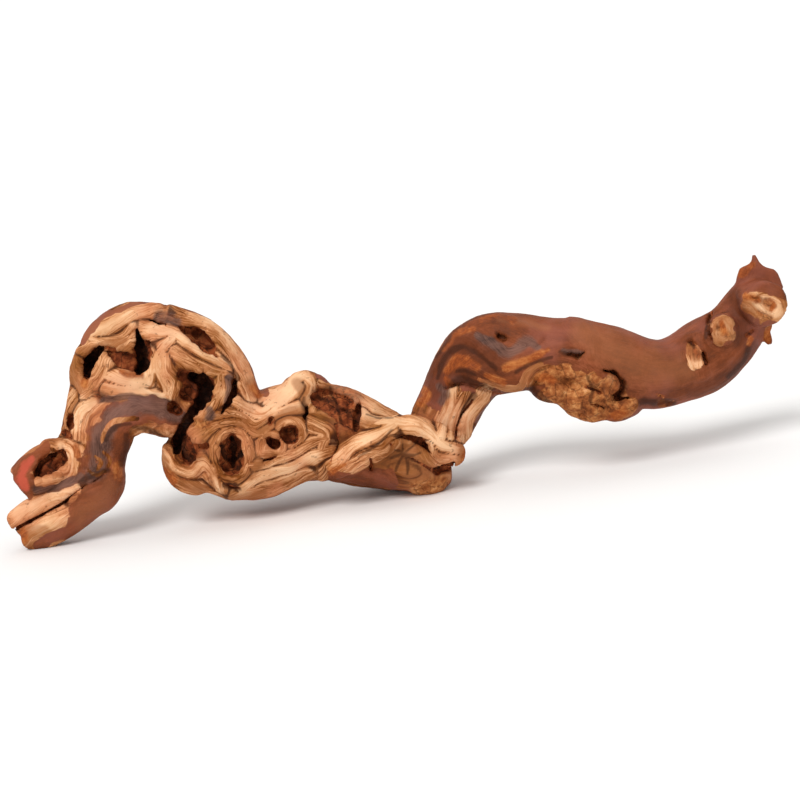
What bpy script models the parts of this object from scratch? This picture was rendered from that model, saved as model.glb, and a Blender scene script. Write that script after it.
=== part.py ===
"""A decorative log: a gnarled old vine, split at its one fork into a trunk and a branch.

Blender 4.5. The scene is in metres with +Z up, and every size below is in millimetres. The log stands
on worn flats under its foot, toe and heel, along the X axis, with its carved face towards -Y. The
origin is on the surface it stands on, under the middle of its box.
"""

import math

import bmesh
import bpy
from mathutils import Matrix, Vector

MM = 0.001

# Driving dimensions.
LOG_SHIFT = Vector((2.0, -0.7, 0.0))
PATH_STEPS = 5
LIMB_BEVEL = 8
VOXEL = 2.2
SMOOTH_ROUNDS = 3
TRUNK_TRIANGLES = 5400
BRANCH_TRIANGLES = 3400
FORK_POINT = Vector((31.0, 15.0, 53.0))
FORK_AXIS = Vector((0.48, 0.09, 0.87)).normalized()
FORK_GAP = 0.3
FORK_REACH = 46.0

# Limbs are rows of x, y, z and radius along a smooth path.
TRUNK_CORE = (
    (-225, -8, 47, 20), (-224, -6, 68, 22), (-218, 0, 89, 24), (-203, 2, 108, 30), (-175, 4, 115, 34),
    (-150, 2, 106, 33), (-134, -2, 83, 34), (-129, -6, 56, 37), (-110, -4, 48, 37), (-82, 2, 53, 36),
    (-53, 4, 50, 34), (-27, 2, 37, 31), (-2, 0, 27, 26), (17, 0, 20, 22), (27, 0, 21, 16),
)
CROWN_BAND = (
    (-225, 0, 89, 15), (-219, 2, 108, 16), (-213, 4, 127, 17), (-202, 4, 140, 17), (-187, 4, 147, 17),
    (-170, 4, 145, 16), (-151, 2, 140, 16), (-136, 0, 131, 16), (-126, -2, 119, 16), (-118, -4, 105, 15),
    (-112, -6, 88, 13), (-107, -6, 70, 12),
)
SHIN_TUBE = (
    (-151, -16, 80, 11), (-167, -18, 87, 14), (-184, -19, 90, 15), (-200, -20, 84, 17),
    (-213, -20, 67, 17), (-219, -20, 52, 18), (-222, -18, 37, 19), (-238, -18, 29, 16),
)
UPPER_PRONG = ((-226, -18, 44, 14), (-247, -18, 35, 12), (-268, -18, 27, 10), (-286, -18, 19, 8))
LOWER_PRONG = ((-214, -14, 36, 13), (-234, -16, 26, 15), (-255, -18, 15, 13), (-270, -18, 9, 11), (-280, -18, 8, 8))
KNOB = ((-238, -12, 64, 14), (-257, -12, 55, 18), (-274, -12, 44, 16))
BEAM = ((-55, -26, 30, 8), (-30, -28, 42, 10), (-7, -28, 52, 11), (15, -26, 46, 11), (31, -22, 33, 11), (36, -18, 20, 8))
MIDDLE_RIB = ((-163, -24, 139, 5), (-150, -27, 128, 6), (-154, -29, 108, 6), (-154, -29, 88, 5))
CUP_RIB = ((-196, -24, 96, 5), (-178, -28, 101, 6), (-166, -29, 102, 6), (-161, -29, 122, 5))
WELL_RIB = ((-150, -27, 128, 6), (-130, -27, 116, 7), (-117, -27, 103, 7), (-113, -29, 78, 6))
BRANCH_SPINE = (
    (12, 8, 23, 17), (27, 14, 43, 23), (40, 16, 63, 24), (53, 14, 81, 27), (69, 10, 90, 29), (87, 4, 91, 28),
    (108, 0, 88, 26), (130, -2, 84, 26), (153, -4, 74, 27), (177, -2, 64, 25), (200, 4, 62, 24),
    (223, 10, 69, 26), (244, 12, 85, 24), (259, 10, 102, 19), (266, 8, 113, 15),
)
END_STUB = ((263, 6, 106, 16), (269, -14, 105, 16))
BIG_SPUR = ((236, 0, 88, 10), (232, -16, 91, 9))
SMALL_SPUR = ((218, 0, 74, 9), (214, -14, 76, 7))
SLIVER = ((264, 2, 97, 4), (267, 0, 84, 3.6), (269, 0, 72, 2.8))
FORK_STUB_ROWS = 4

# Lumps are a centre and three radii.
TRUNK_LUMPS = {
    "belly_lobe": ((-151, -12, 47), (24, 23, 24)),
    "peak": ((-67, 2, 79), (19, 17, 19)),
    "knot_boss": ((0, -12, 29), (24, 24, 24)),
    "toe": ((12, -6, 13), (19, 17, 17)),
    "heel": ((-3, 24, 18), (22, 20, 20.5)),
}
BRANCH_LUMPS = {
    "burl_left": ((113, -8, 68), (21, 17, 16)),
    "burl_middle": ((135, -10, 57), (22, 20, 20)),
    "burl_right": ((156, -8, 53), (20, 19, 19)),
    "underside_knob": ((190, -2, 51), (15, 14, 12)),
}

# Hollows are a centre, three radii and a lean in the face's plane, in degrees.
TRUNK_HOLLOWS = {
    "arch_left": ((-210, -22, 118), (7.5, 22, 11), -25),
    "arch_middle": ((-169, -30, 121), (13, 20, 13), 0),
    "arch_spike": ((-173, -30, 136), (5, 18, 11), 15),
    "arch_right": ((-131, -14, 127), (14, 16, 7), 40),
    "arch_top": ((-154, -12, 150), (11, 12, 5), 10),
    "arch_well": ((-136, -36, 92), (12, 30, 20), 0),
    "arch_throat": ((-150, -38, 66), (7, 24, 18), -12),
    "arch_slit": ((-106, -28, 89), (4, 20, 14), -10),
    "shin_hole": ((-236, -16, 88), (5, 14, 8), 0),
    "knob_cup": ((-251, -32, 62), (10, 18, 12), -35),
    "belly_left": ((-149, -38, 56), (9, 16, 10), -20),
    "belly_cup": ((-122, -44, 52), (9.5, 24, 15), 0),
    "round_hole_low": ((-94, -38, 56), (6, 18, 5.5), 0),
    "round_hole_high": ((-81, -36, 61), (6.5, 18, 6), 0),
    "stump_hollow": ((-48, -32, 72), (19, 20, 14), 15),
    "knot_recess": ((0, -44, 36), (12, 18, 13), 0),
    "end_hollow": ((28, -26, 18), (7, 18, 5), 0),
    "back_eye": ((-186, 44, 108), (16, 20, 10), 30),
    "back_cup": ((-96, 42, 58), (10, 18, 15), -20),
    "back_groove": ((-40, 42, 62), (30, 16, 5), 25),
}
BRANCH_HOLLOWS = {
    "burl_pit": ((129, -30, 86), (8, 12, 5), 0),
    "burl_crescent": ((161, -32, 56), (6, 16, 11), 20),
    "top_pit": ((76, -26, 101), (6, 8, 4), 30),
    "spur_ring": ((214, -24, 72), (8, 8, 6), 0),
    "back_pit": ((150, 30, 82), (16, 14, 8), -15),
}
FOOT_SLIT = ((-226, -34, 44, 2.6), (-246, -34, 32, 4.2), (-266, -32, 23, 3.4), (-288, -28, 13, 2.6))

# The torn sheet of bark over the branch's tip: its outline, x and z, and its thickness.
BARK_OUTLINE = (
    (250, 117), (249, 124), (257, 131), (257, 138), (263, 134), (273, 131), (280, 127), (279, 122),
    (285, 112), (276, 104), (258, 108),
)
BARK_MIDDLE_Y = 4.0
BARK_THICKNESS = 9.0

# Finishes: base colour, roughness.
PEELED_WOOD = ("peeled_wood", (0.62, 0.36, 0.20), 0.72)
RED_BARK = ("red_bark", (0.30, 0.13, 0.08), 0.66)


def clear_scene():
    """Removes the objects that a new Blender scene starts with."""
    for old in list(bpy.data.objects):
        bpy.data.objects.remove(old, do_unlink=True)


def new_collection(name):
    made = bpy.data.collections.new(name)
    bpy.context.scene.collection.children.link(made)
    return made


def smooth_path(rows):
    """Points on a Catmull-Rom curve through the rows, each with its radius."""
    rows = [Vector(row) for row in rows]
    ends = [2 * rows[0] - rows[1]] + rows + [2 * rows[-1] - rows[-2]]
    path = []
    for before, start, end, after in zip(ends, ends[1:], ends[2:], ends[3:]):
        for step in range(PATH_STEPS):
            t = step / PATH_STEPS
            path.append(
                0.5
                * (
                    2 * start
                    + (end - before) * t
                    + (2 * before - 5 * start + 4 * end - after) * t**2
                    + (3 * start - before - 3 * end + after) * t**3
                )
            )
    return path + [rows[-1]]


def mesh_of(obj):
    """The evaluated mesh of an object in world space, with its doubles merged. The object is removed."""
    bpy.context.view_layer.update()
    evaluated = obj.evaluated_get(bpy.context.evaluated_depsgraph_get())
    mesh = bpy.data.meshes.new_from_object(evaluated)
    mesh.transform(obj.matrix_world)
    bpy.data.objects.remove(obj, do_unlink=True)
    bm = bmesh.new()
    bm.from_mesh(mesh)
    bmesh.ops.remove_doubles(bm, verts=bm.verts, dist=0.00001)
    bmesh.ops.recalc_face_normals(bm, faces=bm.faces)
    bm.to_mesh(mesh)
    bm.free()
    return mesh


def limb(rows):
    """A tapered tube along a smooth path, with closed ends."""
    path = smooth_path(rows)
    curve = bpy.data.curves.new("limb", "CURVE")
    curve.dimensions = "3D"
    curve.bevel_depth = MM
    curve.bevel_resolution = LIMB_BEVEL
    curve.use_fill_caps = True
    spline = curve.splines.new("POLY")
    spline.points.add(len(path) - 1)
    for point, (x, y, z, radius) in zip(spline.points, path):
        point.co = (x * MM, y * MM, z * MM, 1)
        point.radius = radius
    obj = bpy.data.objects.new("limb", curve)
    bpy.context.scene.collection.objects.link(obj)
    return mesh_of(obj)


def lump(centre, radii, lean=0.0):
    """An ellipsoid, leaning in the plane of the log's face."""
    bm = bmesh.new()
    bmesh.ops.create_uvsphere(bm, u_segments=20, v_segments=14, radius=1.0)
    place = (
        Matrix.Translation(Vector(centre) * MM)
        @ Matrix.Rotation(math.radians(lean), 4, "Y")
        @ Matrix.Diagonal((*(r * MM for r in radii), 1.0))
    )
    bmesh.ops.transform(bm, matrix=place, verts=bm.verts)
    mesh = bpy.data.meshes.new("lump")
    bm.to_mesh(mesh)
    bm.free()
    return mesh


def bark_sheet():
    """The torn bark at the tip: a flat outline with a thickness, stood upright."""
    curve = bpy.data.curves.new("bark", "CURVE")
    curve.dimensions = "2D"
    curve.fill_mode = "BOTH"
    curve.extrude = BARK_THICKNESS / 2 * MM
    spline = curve.splines.new("POLY")
    spline.points.add(len(BARK_OUTLINE) - 1)
    for point, (x, z) in zip(spline.points, BARK_OUTLINE):
        point.co = (x * MM, z * MM, 0, 1)
    spline.use_cyclic_u = True
    obj = bpy.data.objects.new("bark", curve)
    bpy.context.scene.collection.objects.link(obj)
    obj.matrix_world = Matrix.Translation((0, BARK_MIDDLE_Y * MM, 0)) @ Matrix.Rotation(math.pi / 2, 4, "X")
    return mesh_of(obj)


def one_object(name, meshes, collection):
    """One object that holds several closed meshes, moved so that the log's box is over the origin."""
    bm = bmesh.new()
    for mesh in meshes:
        bm.from_mesh(mesh)
        bpy.data.meshes.remove(mesh)
    bmesh.ops.translate(bm, vec=LOG_SHIFT * MM, verts=bm.verts)
    made = bpy.data.meshes.new(name)
    bm.to_mesh(made)
    bm.free()
    obj = bpy.data.objects.new(name, made)
    collection.objects.link(obj)
    return obj


def hide_cutter(obj):
    obj.hide_render = True
    obj.display_type = "WIRE"
    return obj


def box_cutter(name, size, place, collection):
    """A box of that size, in millimetres, at a place given by a matrix in metres."""
    bpy.ops.mesh.primitive_cube_add(size=1.0)
    obj = bpy.context.object
    obj.name = name
    obj.data.transform(Matrix.Diagonal((*(s * MM for s in size), 1.0)))
    obj.matrix_world = place
    for old in list(obj.users_collection):
        old.objects.unlink(obj)
    collection.objects.link(obj)
    return hide_cutter(obj)


def fork_place(along):
    """A frame on the branch's axis at the fork, that far along it from the split."""
    middle = (FORK_POINT + LOG_SHIFT + FORK_AXIS * along) * MM
    return Matrix.Translation(middle) @ FORK_AXIS.to_track_quat("Z", "Y").to_matrix().to_4x4()


def cut(obj, name, cutter):
    modifier = obj.modifiers.new(name, "BOOLEAN")
    modifier.operation = "DIFFERENCE"
    modifier.object = cutter


def fuse(obj, name):
    """Turns all the shells of an object into one closed skin."""
    remesh = obj.modifiers.new(name, "REMESH")
    remesh.mode = "VOXEL"
    remesh.voxel_size = VOXEL * MM


def skin(obj, hollows, triangles):
    """Fuses the shells, opens the hollows, softens the skin and brings it to that many triangles."""
    fuse(obj, "fuse_shells")
    fuse(hollows, "fuse_pits")
    cut(obj, "hollows", hollows)
    fuse(obj, "fuse_edges")
    smooth = obj.modifiers.new("soften", "SMOOTH")
    smooth.factor = 0.5
    smooth.iterations = SMOOTH_ROUNDS
    bpy.context.view_layer.update()
    evaluated = obj.evaluated_get(bpy.context.evaluated_depsgraph_get())
    fine = sum(len(p.vertices) - 2 for p in evaluated.data.polygons)
    coarse = obj.modifiers.new("facets", "DECIMATE")
    coarse.decimate_type = "COLLAPSE"
    coarse.ratio = triangles / fine


def finish(obj, material):
    """Gives the object its Principled material."""
    name, colour, roughness = material
    made = bpy.data.materials.new(name)
    made.use_nodes = True
    shader = made.node_tree.nodes["Principled BSDF"]
    shader.inputs["Base Color"].default_value = (*colour, 1.0)
    shader.inputs["Roughness"].default_value = roughness
    shader.inputs["Metallic"].default_value = 0.0
    obj.data.materials.append(made)


def build_trunk(log, cutters, floor):
    """The thick stem: arch, foot with two prongs, belly, stump, and the knotted end with its beam."""
    limbs = [TRUNK_CORE, CROWN_BAND, SHIN_TUBE, UPPER_PRONG, LOWER_PRONG, KNOB, BEAM]
    limbs += [MIDDLE_RIB, CUP_RIB, WELL_RIB, BRANCH_SPINE[:FORK_STUB_ROWS]]
    shells = [limb(rows) for rows in limbs] + [lump(*shape) for shape in TRUNK_LUMPS.values()]
    trunk = one_object("trunk", shells, log)
    pits = [lump(*shape) for shape in TRUNK_HOLLOWS.values()] + [limb(FOOT_SLIT)]
    skin(trunk, hide_cutter(one_object("trunk_hollows", pits, cutters)), TRUNK_TRIANGLES)
    size = (2 * FORK_REACH, 2 * FORK_REACH, 2 * FORK_REACH)
    beyond = box_cutter("above_the_fork", size, fork_place(FORK_REACH), cutters)
    cut(trunk, "split", beyond)
    cut(trunk, "worn_flats", floor)
    finish(trunk, PEELED_WOOD)


def build_branch(log, cutters, floor):
    """The thinner stem above the fork: its bend, the torn burl below it, spurs, bark and tip."""
    limbs = [BRANCH_SPINE, END_STUB, BIG_SPUR, SMALL_SPUR, SLIVER]
    shells = [limb(rows) for rows in limbs] + [lump(*shape) for shape in BRANCH_LUMPS.values()]
    branch = one_object("branch", shells + [bark_sheet()], log)
    pits = [lump(*shape) for shape in BRANCH_HOLLOWS.values()]
    skin(branch, hide_cutter(one_object("branch_hollows", pits, cutters)), BRANCH_TRIANGLES)
    size = (2 * FORK_REACH, 2 * FORK_REACH, 2 * FORK_REACH)
    below = box_cutter("below_the_fork", size, fork_place(FORK_GAP - FORK_REACH), cutters)
    cut(branch, "split", below)
    finish(branch, RED_BARK)


def main():
    clear_scene()
    log = new_collection("decorative_log")
    cutters = new_collection("cutters")
    under = Matrix.Translation((0, 0, -25 * MM))
    floor = box_cutter("floor", (700, 300, 50), under, cutters)
    build_trunk(log, cutters, floor)
    build_branch(log, cutters, floor)


main()
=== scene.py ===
"""The decorative log: a gnarled old vine in two pieces, its thick trunk and the thinner branch above
the fork."""

import math

import bpy
import numpy as np
from mathutils import Matrix, Vector


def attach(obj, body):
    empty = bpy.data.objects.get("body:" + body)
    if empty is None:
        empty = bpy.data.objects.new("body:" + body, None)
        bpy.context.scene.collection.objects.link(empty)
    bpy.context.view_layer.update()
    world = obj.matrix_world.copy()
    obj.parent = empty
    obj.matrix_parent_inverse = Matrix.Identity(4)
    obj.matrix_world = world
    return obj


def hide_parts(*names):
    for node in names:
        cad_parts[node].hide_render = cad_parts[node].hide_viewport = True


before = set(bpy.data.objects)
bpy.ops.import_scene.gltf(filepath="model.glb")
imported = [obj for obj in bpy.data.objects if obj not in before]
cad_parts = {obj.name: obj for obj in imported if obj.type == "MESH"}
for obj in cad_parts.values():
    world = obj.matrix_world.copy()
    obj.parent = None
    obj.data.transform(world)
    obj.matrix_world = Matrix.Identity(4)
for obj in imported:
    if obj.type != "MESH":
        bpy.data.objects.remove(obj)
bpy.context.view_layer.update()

# The studio.
# A pale plain floor under soft light from above and in front. The camera stands low in front of the
# log and leans a little to one side, as it does in the photograph. Lengths are in millimetres.
MM = 0.001
PHOTO_SIZE = 800
LENS = 100.0
SENSOR = 36.0
VIEW_DISTANCE = 1600.0
VIEW_TILT = math.radians(12.0)
VIEW_LEAN = math.radians(7.6)
VIEW_TARGET = np.array([2.0, -0.7, 68.0])
FLOOR_REACH = 200000.0
FLOOR_COLOUR = (0.9, 0.895, 0.885, 1.0)
FLOOR_ROUGHNESS = 0.9
STUDIO_COLOUR = (1.0, 0.99, 0.975, 1.0)
STUDIO_STRENGTH = 0.58
# Each lamp shines evenly from far off: the way to it, how wide it looks in degrees, and its strength.
LAMPS = {
    "key_lamp": ((-0.45, -0.75, 1.0), 30, 2.05),
    "top_lamp": ((0.25, 0.35, 1.0), 60, 0.50),
}

FORWARD = np.array([0.0, math.cos(VIEW_TILT), -math.sin(VIEW_TILT)])
LEVEL_RIGHT = np.array([1.0, 0.0, 0.0])
LEVEL_UP = np.cross(LEVEL_RIGHT, FORWARD)
RIGHT = math.cos(VIEW_LEAN) * LEVEL_RIGHT - math.sin(VIEW_LEAN) * LEVEL_UP
UP = math.sin(VIEW_LEAN) * LEVEL_RIGHT + math.cos(VIEW_LEAN) * LEVEL_UP
EYE = VIEW_TARGET - VIEW_DISTANCE * FORWARD
FOCAL_PIXELS = PHOTO_SIZE * LENS / SENSOR


def in_photo(points):
    """Where points fall on the photograph, in pixels, and how far off they are: the focal length times
    the offset across the view over the distance along it."""
    offset = points - EYE
    away = offset @ FORWARD
    across = PHOTO_SIZE / 2 + FOCAL_PIXELS * (offset @ RIGHT) / away
    down = PHOTO_SIZE / 2 - FOCAL_PIXELS * (offset @ UP) / away
    return np.column_stack([across, down]), away


def mesh_from(name, points, *groups):
    """A mesh of millimetre points and groups of faces. Faces of one group have as many corners."""
    mesh = bpy.data.meshes.new(name)
    corners = np.concatenate([np.full(len(faces), faces.shape[1]) for faces in groups])
    loops = np.concatenate([faces.ravel() for faces in groups])
    mesh.vertices.add(len(points))
    mesh.loops.add(len(loops))
    mesh.polygons.add(len(corners))
    mesh.vertices.foreach_set("co", (points * MM).astype(np.float32).ravel())
    mesh.polygons.foreach_set("loop_start", (np.cumsum(corners) - corners).astype(np.int32))
    mesh.loops.foreach_set("vertex_index", loops.astype(np.int32))
    mesh.update(calc_edges=True)
    return mesh


def show(name, mesh):
    """An object at the origin that shows the mesh."""
    obj = bpy.data.objects.new(name, mesh)
    bpy.context.scene.collection.objects.link(obj)
    return obj


def build_studio():
    camera = bpy.data.objects.new("camera", bpy.data.cameras.new("camera"))
    camera.data.lens = LENS
    camera.data.sensor_width = SENSOR
    camera.data.clip_end = 2 * FLOOR_REACH * MM
    turn = Matrix([RIGHT, UP, -FORWARD]).transposed().to_4x4()
    camera.matrix_world = Matrix.Translation(Vector(EYE * MM)) @ turn
    bpy.context.scene.collection.objects.link(camera)
    bpy.context.scene.camera = camera

    corners = FLOOR_REACH * np.array([[-1, -1, 0], [1, -1, 0], [1, 1, 0], [-1, 1, 0]])
    floor = show("floor", mesh_from("floor", corners, np.array([[0, 1, 2, 3]])))
    paper = bpy.data.materials.new("pale_paper")
    paper.use_nodes = True
    shader = paper.node_tree.nodes["Principled BSDF"]
    shader.inputs["Base Color"].default_value = FLOOR_COLOUR
    shader.inputs["Roughness"].default_value = FLOOR_ROUGHNESS
    floor.data.materials.append(paper)

    world = bpy.data.worlds.new("studio")
    world.use_nodes = True
    sky = world.node_tree.nodes["Background"]
    sky.inputs["Color"].default_value = STUDIO_COLOUR
    sky.inputs["Strength"].default_value = STUDIO_STRENGTH
    bpy.context.scene.world = world
    bpy.context.scene.view_settings.view_transform = "Standard"

    for name, (way, width, strength) in LAMPS.items():
        lamp = bpy.data.objects.new(name, bpy.data.lights.new(name, "SUN"))
        lamp.data.angle = math.radians(width)
        lamp.data.energy = strength
        lamp.matrix_world = Vector(way).to_track_quat("Z", "Y").to_matrix().to_4x4()
        bpy.context.scene.collection.objects.link(lamp)


build_studio()

# The trunk.
# The thick stem on the left: an old vine that has grown in a loop, with its bark worn off most of it.
# It is weathered wood with grain that flows round rotted hollows, and smooth bark is left on the leg.
# It grew in one piece, so its limbs are fused into one skin, and the relief is carved into that.
LOG_SHIFT = np.array([2.0, -0.7, 0.0])
PATH_STEPS = 6
ROUND_STEPS = 24
ROUGH_VOXEL = 1.4

# Limbs are rows of x, y, z and radius along a smooth path, as the frame has them.
TRUNK_LIMBS = {
    "core": (
        (-225, -8, 47, 20), (-224, -6, 68, 21.5), (-217, 0, 89, 22), (-202, 2, 108, 28.5),
        (-175, 4, 115, 33.5), (-150, 2, 106, 33), (-134, -2, 83, 34), (-129, -6, 56, 37),
        (-110, -4, 48, 37), (-82, 2, 53, 36), (-53, 4, 50, 34), (-27, 2, 37, 31), (-2, 0, 27, 26),
        (17, 0, 20, 22), (27, 0, 21, 16),
    ),
    "crown_band": (
        (-222, 0, 89, 14), (-217.5, 2, 108, 15), (-210.5, 4, 127, 15.5), (-200.5, 4, 139, 16),
        (-187, 4, 146.5, 16.5), (-170, 4, 145, 15.5), (-151, 2, 140, 15.5), (-136, 0, 131, 16),
        (-126, -2, 119, 16), (-118, -4, 105, 15), (-112, -6, 88, 13), (-107, -6, 70, 12),
    ),
    "shin_tube": (
        (-151, -16, 77, 13), (-167, -18, 84, 16), (-184, -19, 89, 15), (-200, -20, 84, 17),
        (-213, -20, 67, 17), (-219, -20, 52, 18), (-223, -18, 38, 18), (-240, -18, 30, 14.5),
    ),
    "upper_prong": ((-226, -18, 44, 14), (-247, -18, 35, 12), (-268, -18, 27, 10), (-286, -18, 19, 8)),
    "lower_prong": (
        (-218, -14, 37, 12), (-236, -16, 26, 14), (-255, -18, 15, 13), (-270, -18, 9, 11),
        (-280, -18, 8, 8),
    ),
    "knob": ((-238, -12, 64, 14), (-257, -12, 55, 18), (-274, -12, 44, 16)),
    "beam": (
        (-55, -26, 30, 8), (-30, -28, 42, 10), (-7, -28, 52, 11), (15, -26, 46, 11),
        (29, -22, 34, 10.5), (33, -19, 22, 8),
    ),
}
TRUNK_LUMPS = {
    "belly_lobe": ((-151, -12, 47), (24, 23, 24)),
    "peak": ((-67, 2, 79), (19, 17, 19)),
    "knot_boss": ((0, -12, 29), (24, 24, 24)),
    "toe": ((12, -6, 13), (19, 17, 17)),
    "heel": ((-3, 24, 18), (22, 20, 20.5)),
}

# Marks on the carved face are chains of pixel x, y and half width on the photograph.
# A hollow is its depth in millimetres and its chain.
TRUNK_HOLLOWS = {
    "arch_left": (18, ((100, 349, 5), (94, 357, 8), (88, 366, 8.5), (88, 374, 7))),
    "arch_left_slit": (5, ((104, 347, 2.5), (116, 349, 1.5))),
    "arch_spike": (22, ((137, 330, 2.5), (139, 340, 5), (142, 352, 8.5), (144, 363, 8.5), (140, 371, 6))),
    "arch_middle": (10, ((110, 354, 4), (116, 357, 7), (124, 361, 10), (132, 363, 10))),
    "arch_middle_right": (11, ((148, 343, 5), (148, 353, 6))),
    "arch_top": (1.5, ((158, 316, 4), (167, 317, 5), (177, 321, 4))),
    "arch_top_deep": (16, ((151, 321, 2.5), (158, 325, 3.4), (166, 325, 2.8))),
    "arch_right": (9, ((183, 329, 5), (192, 333, 8), (202, 340, 10), (209, 347, 9))),
    "arch_right_deep": (13, ((194, 332, 4), (203, 339, 7), (209, 346, 6.5))),
    "arch_right_slit": (6, ((208, 351, 2.5), (217, 357, 1.8))),
    "well": (12, ((184, 376, 9), (196, 379, 10), (206, 384, 9), (202, 396, 12), (189, 392, 11))),
    "well_deep": (23, ((194, 376, 6.5), (205, 383, 8.5), (205, 395, 8.5), (199, 406, 8))),
    "throat": (18, (
        (198, 404, 8), (193, 414, 7), (186, 423, 6.5), (181, 433, 6), (177, 443, 6), (177, 452, 4.5),
    )),
    "throat_eye": (10, ((172, 406, 7), (178, 412, 5))),
    "arch_slit": (15, ((235, 382, 4.5), (233, 394, 5), (228, 403, 4), (222, 413, 3))),
    "shin_hole": (9, ((71.5, 417, 4.5), (71.5, 425, 5))),
    "shin_notch": (5, ((65, 433, 3.5), (71, 437, 3))),
    "knob_cup_deep": (14, ((36, 478, 2.5), (38, 468, 3), (46, 459, 3), (55, 453, 2.5))),
    "knob_cup": (9, ((41, 472, 8.5), (51, 464, 12), (60, 458, 10.5))),
    "belly_left_deep": (13, ((184, 434, 4), (183, 446, 3), (186, 458, 2.5))),
    "belly_left": (8, ((187, 440, 6.5), (190, 450, 9.5), (190, 458, 7.5))),
    "belly_slot": (8, ((197, 444, 4), (207, 446, 4.5))),
    "belly_cup": (12, ((231, 446, 13), (232, 463, 13))),
    "belly_cup_crack": (19, ((232, 438, 3), (234, 452, 3), (233, 467, 2.6))),
    "belly_cup_crack_side": (17, ((222, 446, 3), (224, 456, 2.4), (233, 460, 2), (243, 452, 2))),
    "belly_slit": (5, ((263, 461, 2), (270, 459, 3), (275, 457, 1.8))),
    "low_slit": (5, ((226, 484, 2.2), (232, 486, 3), (240, 487, 1.8))),
    "low_pocket": (4, ((228, 473, 3.5), (232, 474, 3))),
    "round_hole_low": (13, ((271, 443, 7.5), (274, 444, 7.5))),
    "round_hole_high": (12, ((288, 434, 9.5), (291, 434, 9.5))),
    "small_hole": (6, ((271, 420, 4), (270, 423, 3.5))),
    "stump": (6, ((317, 400, 9), (330, 402, 13), (343, 410, 14), (352, 420, 10))),
    "stump_left": (12, ((307, 409, 4.5), (305, 417, 3.5))),
    "stump_split": (12, ((322, 398, 1.6), (334, 408, 1.8), (346, 412, 1.6))),
    "stump_split_side": (11, ((334, 394, 1.5), (338, 408, 1.6), (341, 420, 1.5))),
    "stump_slit": (14, ((359, 407, 3.5), (358, 419, 4), (356, 429, 3.5))),
    "stump_crack": (4, ((336, 424, 1.6), (338, 438, 2), (335, 452, 1.8), (331, 464, 1.5))),
    "knot_edge": (9, ((394, 439, 2), (406, 437, 3.5), (419, 440, 5), (428, 451, 4))),
    "knot_crack": (4, ((411, 458, 1.5), (425, 466, 2), (438, 473, 2.5))),
    "end_hollow": (9, ((438, 469, 4.5), (448, 466, 5), (453, 463, 3))),
    "side_slit": (6, ((370, 458, 2.5), (371, 469, 3))),
    "beam_hole": (3, ((390, 443, 2.2), (391, 444, 2.2))),
    "leg_crack": (2.5, ((94, 481, 1.3), (101, 476, 1.6), (109, 471, 1.2))),
    "leg_pock": (2, ((96, 460, 1.5), (99, 466, 2.2))),
    "cream_line_low": (2, (
        (171, 474, 1.3), (184, 479, 1.6), (197, 477, 1.5), (205, 471, 1.4), (212, 481, 1.5),
        (216, 490, 1.2),
    )),
    "cream_line_high": (2, ((167, 449, 1.2), (176, 461, 1.4), (188, 466, 1.4), (198, 459, 1.2))),
    "foot_slit": (9, ((88, 484, 1.5), (73, 495, 3), (60, 504, 4.2), (40, 516, 3.2), (17, 527, 2.6))),
}
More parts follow.
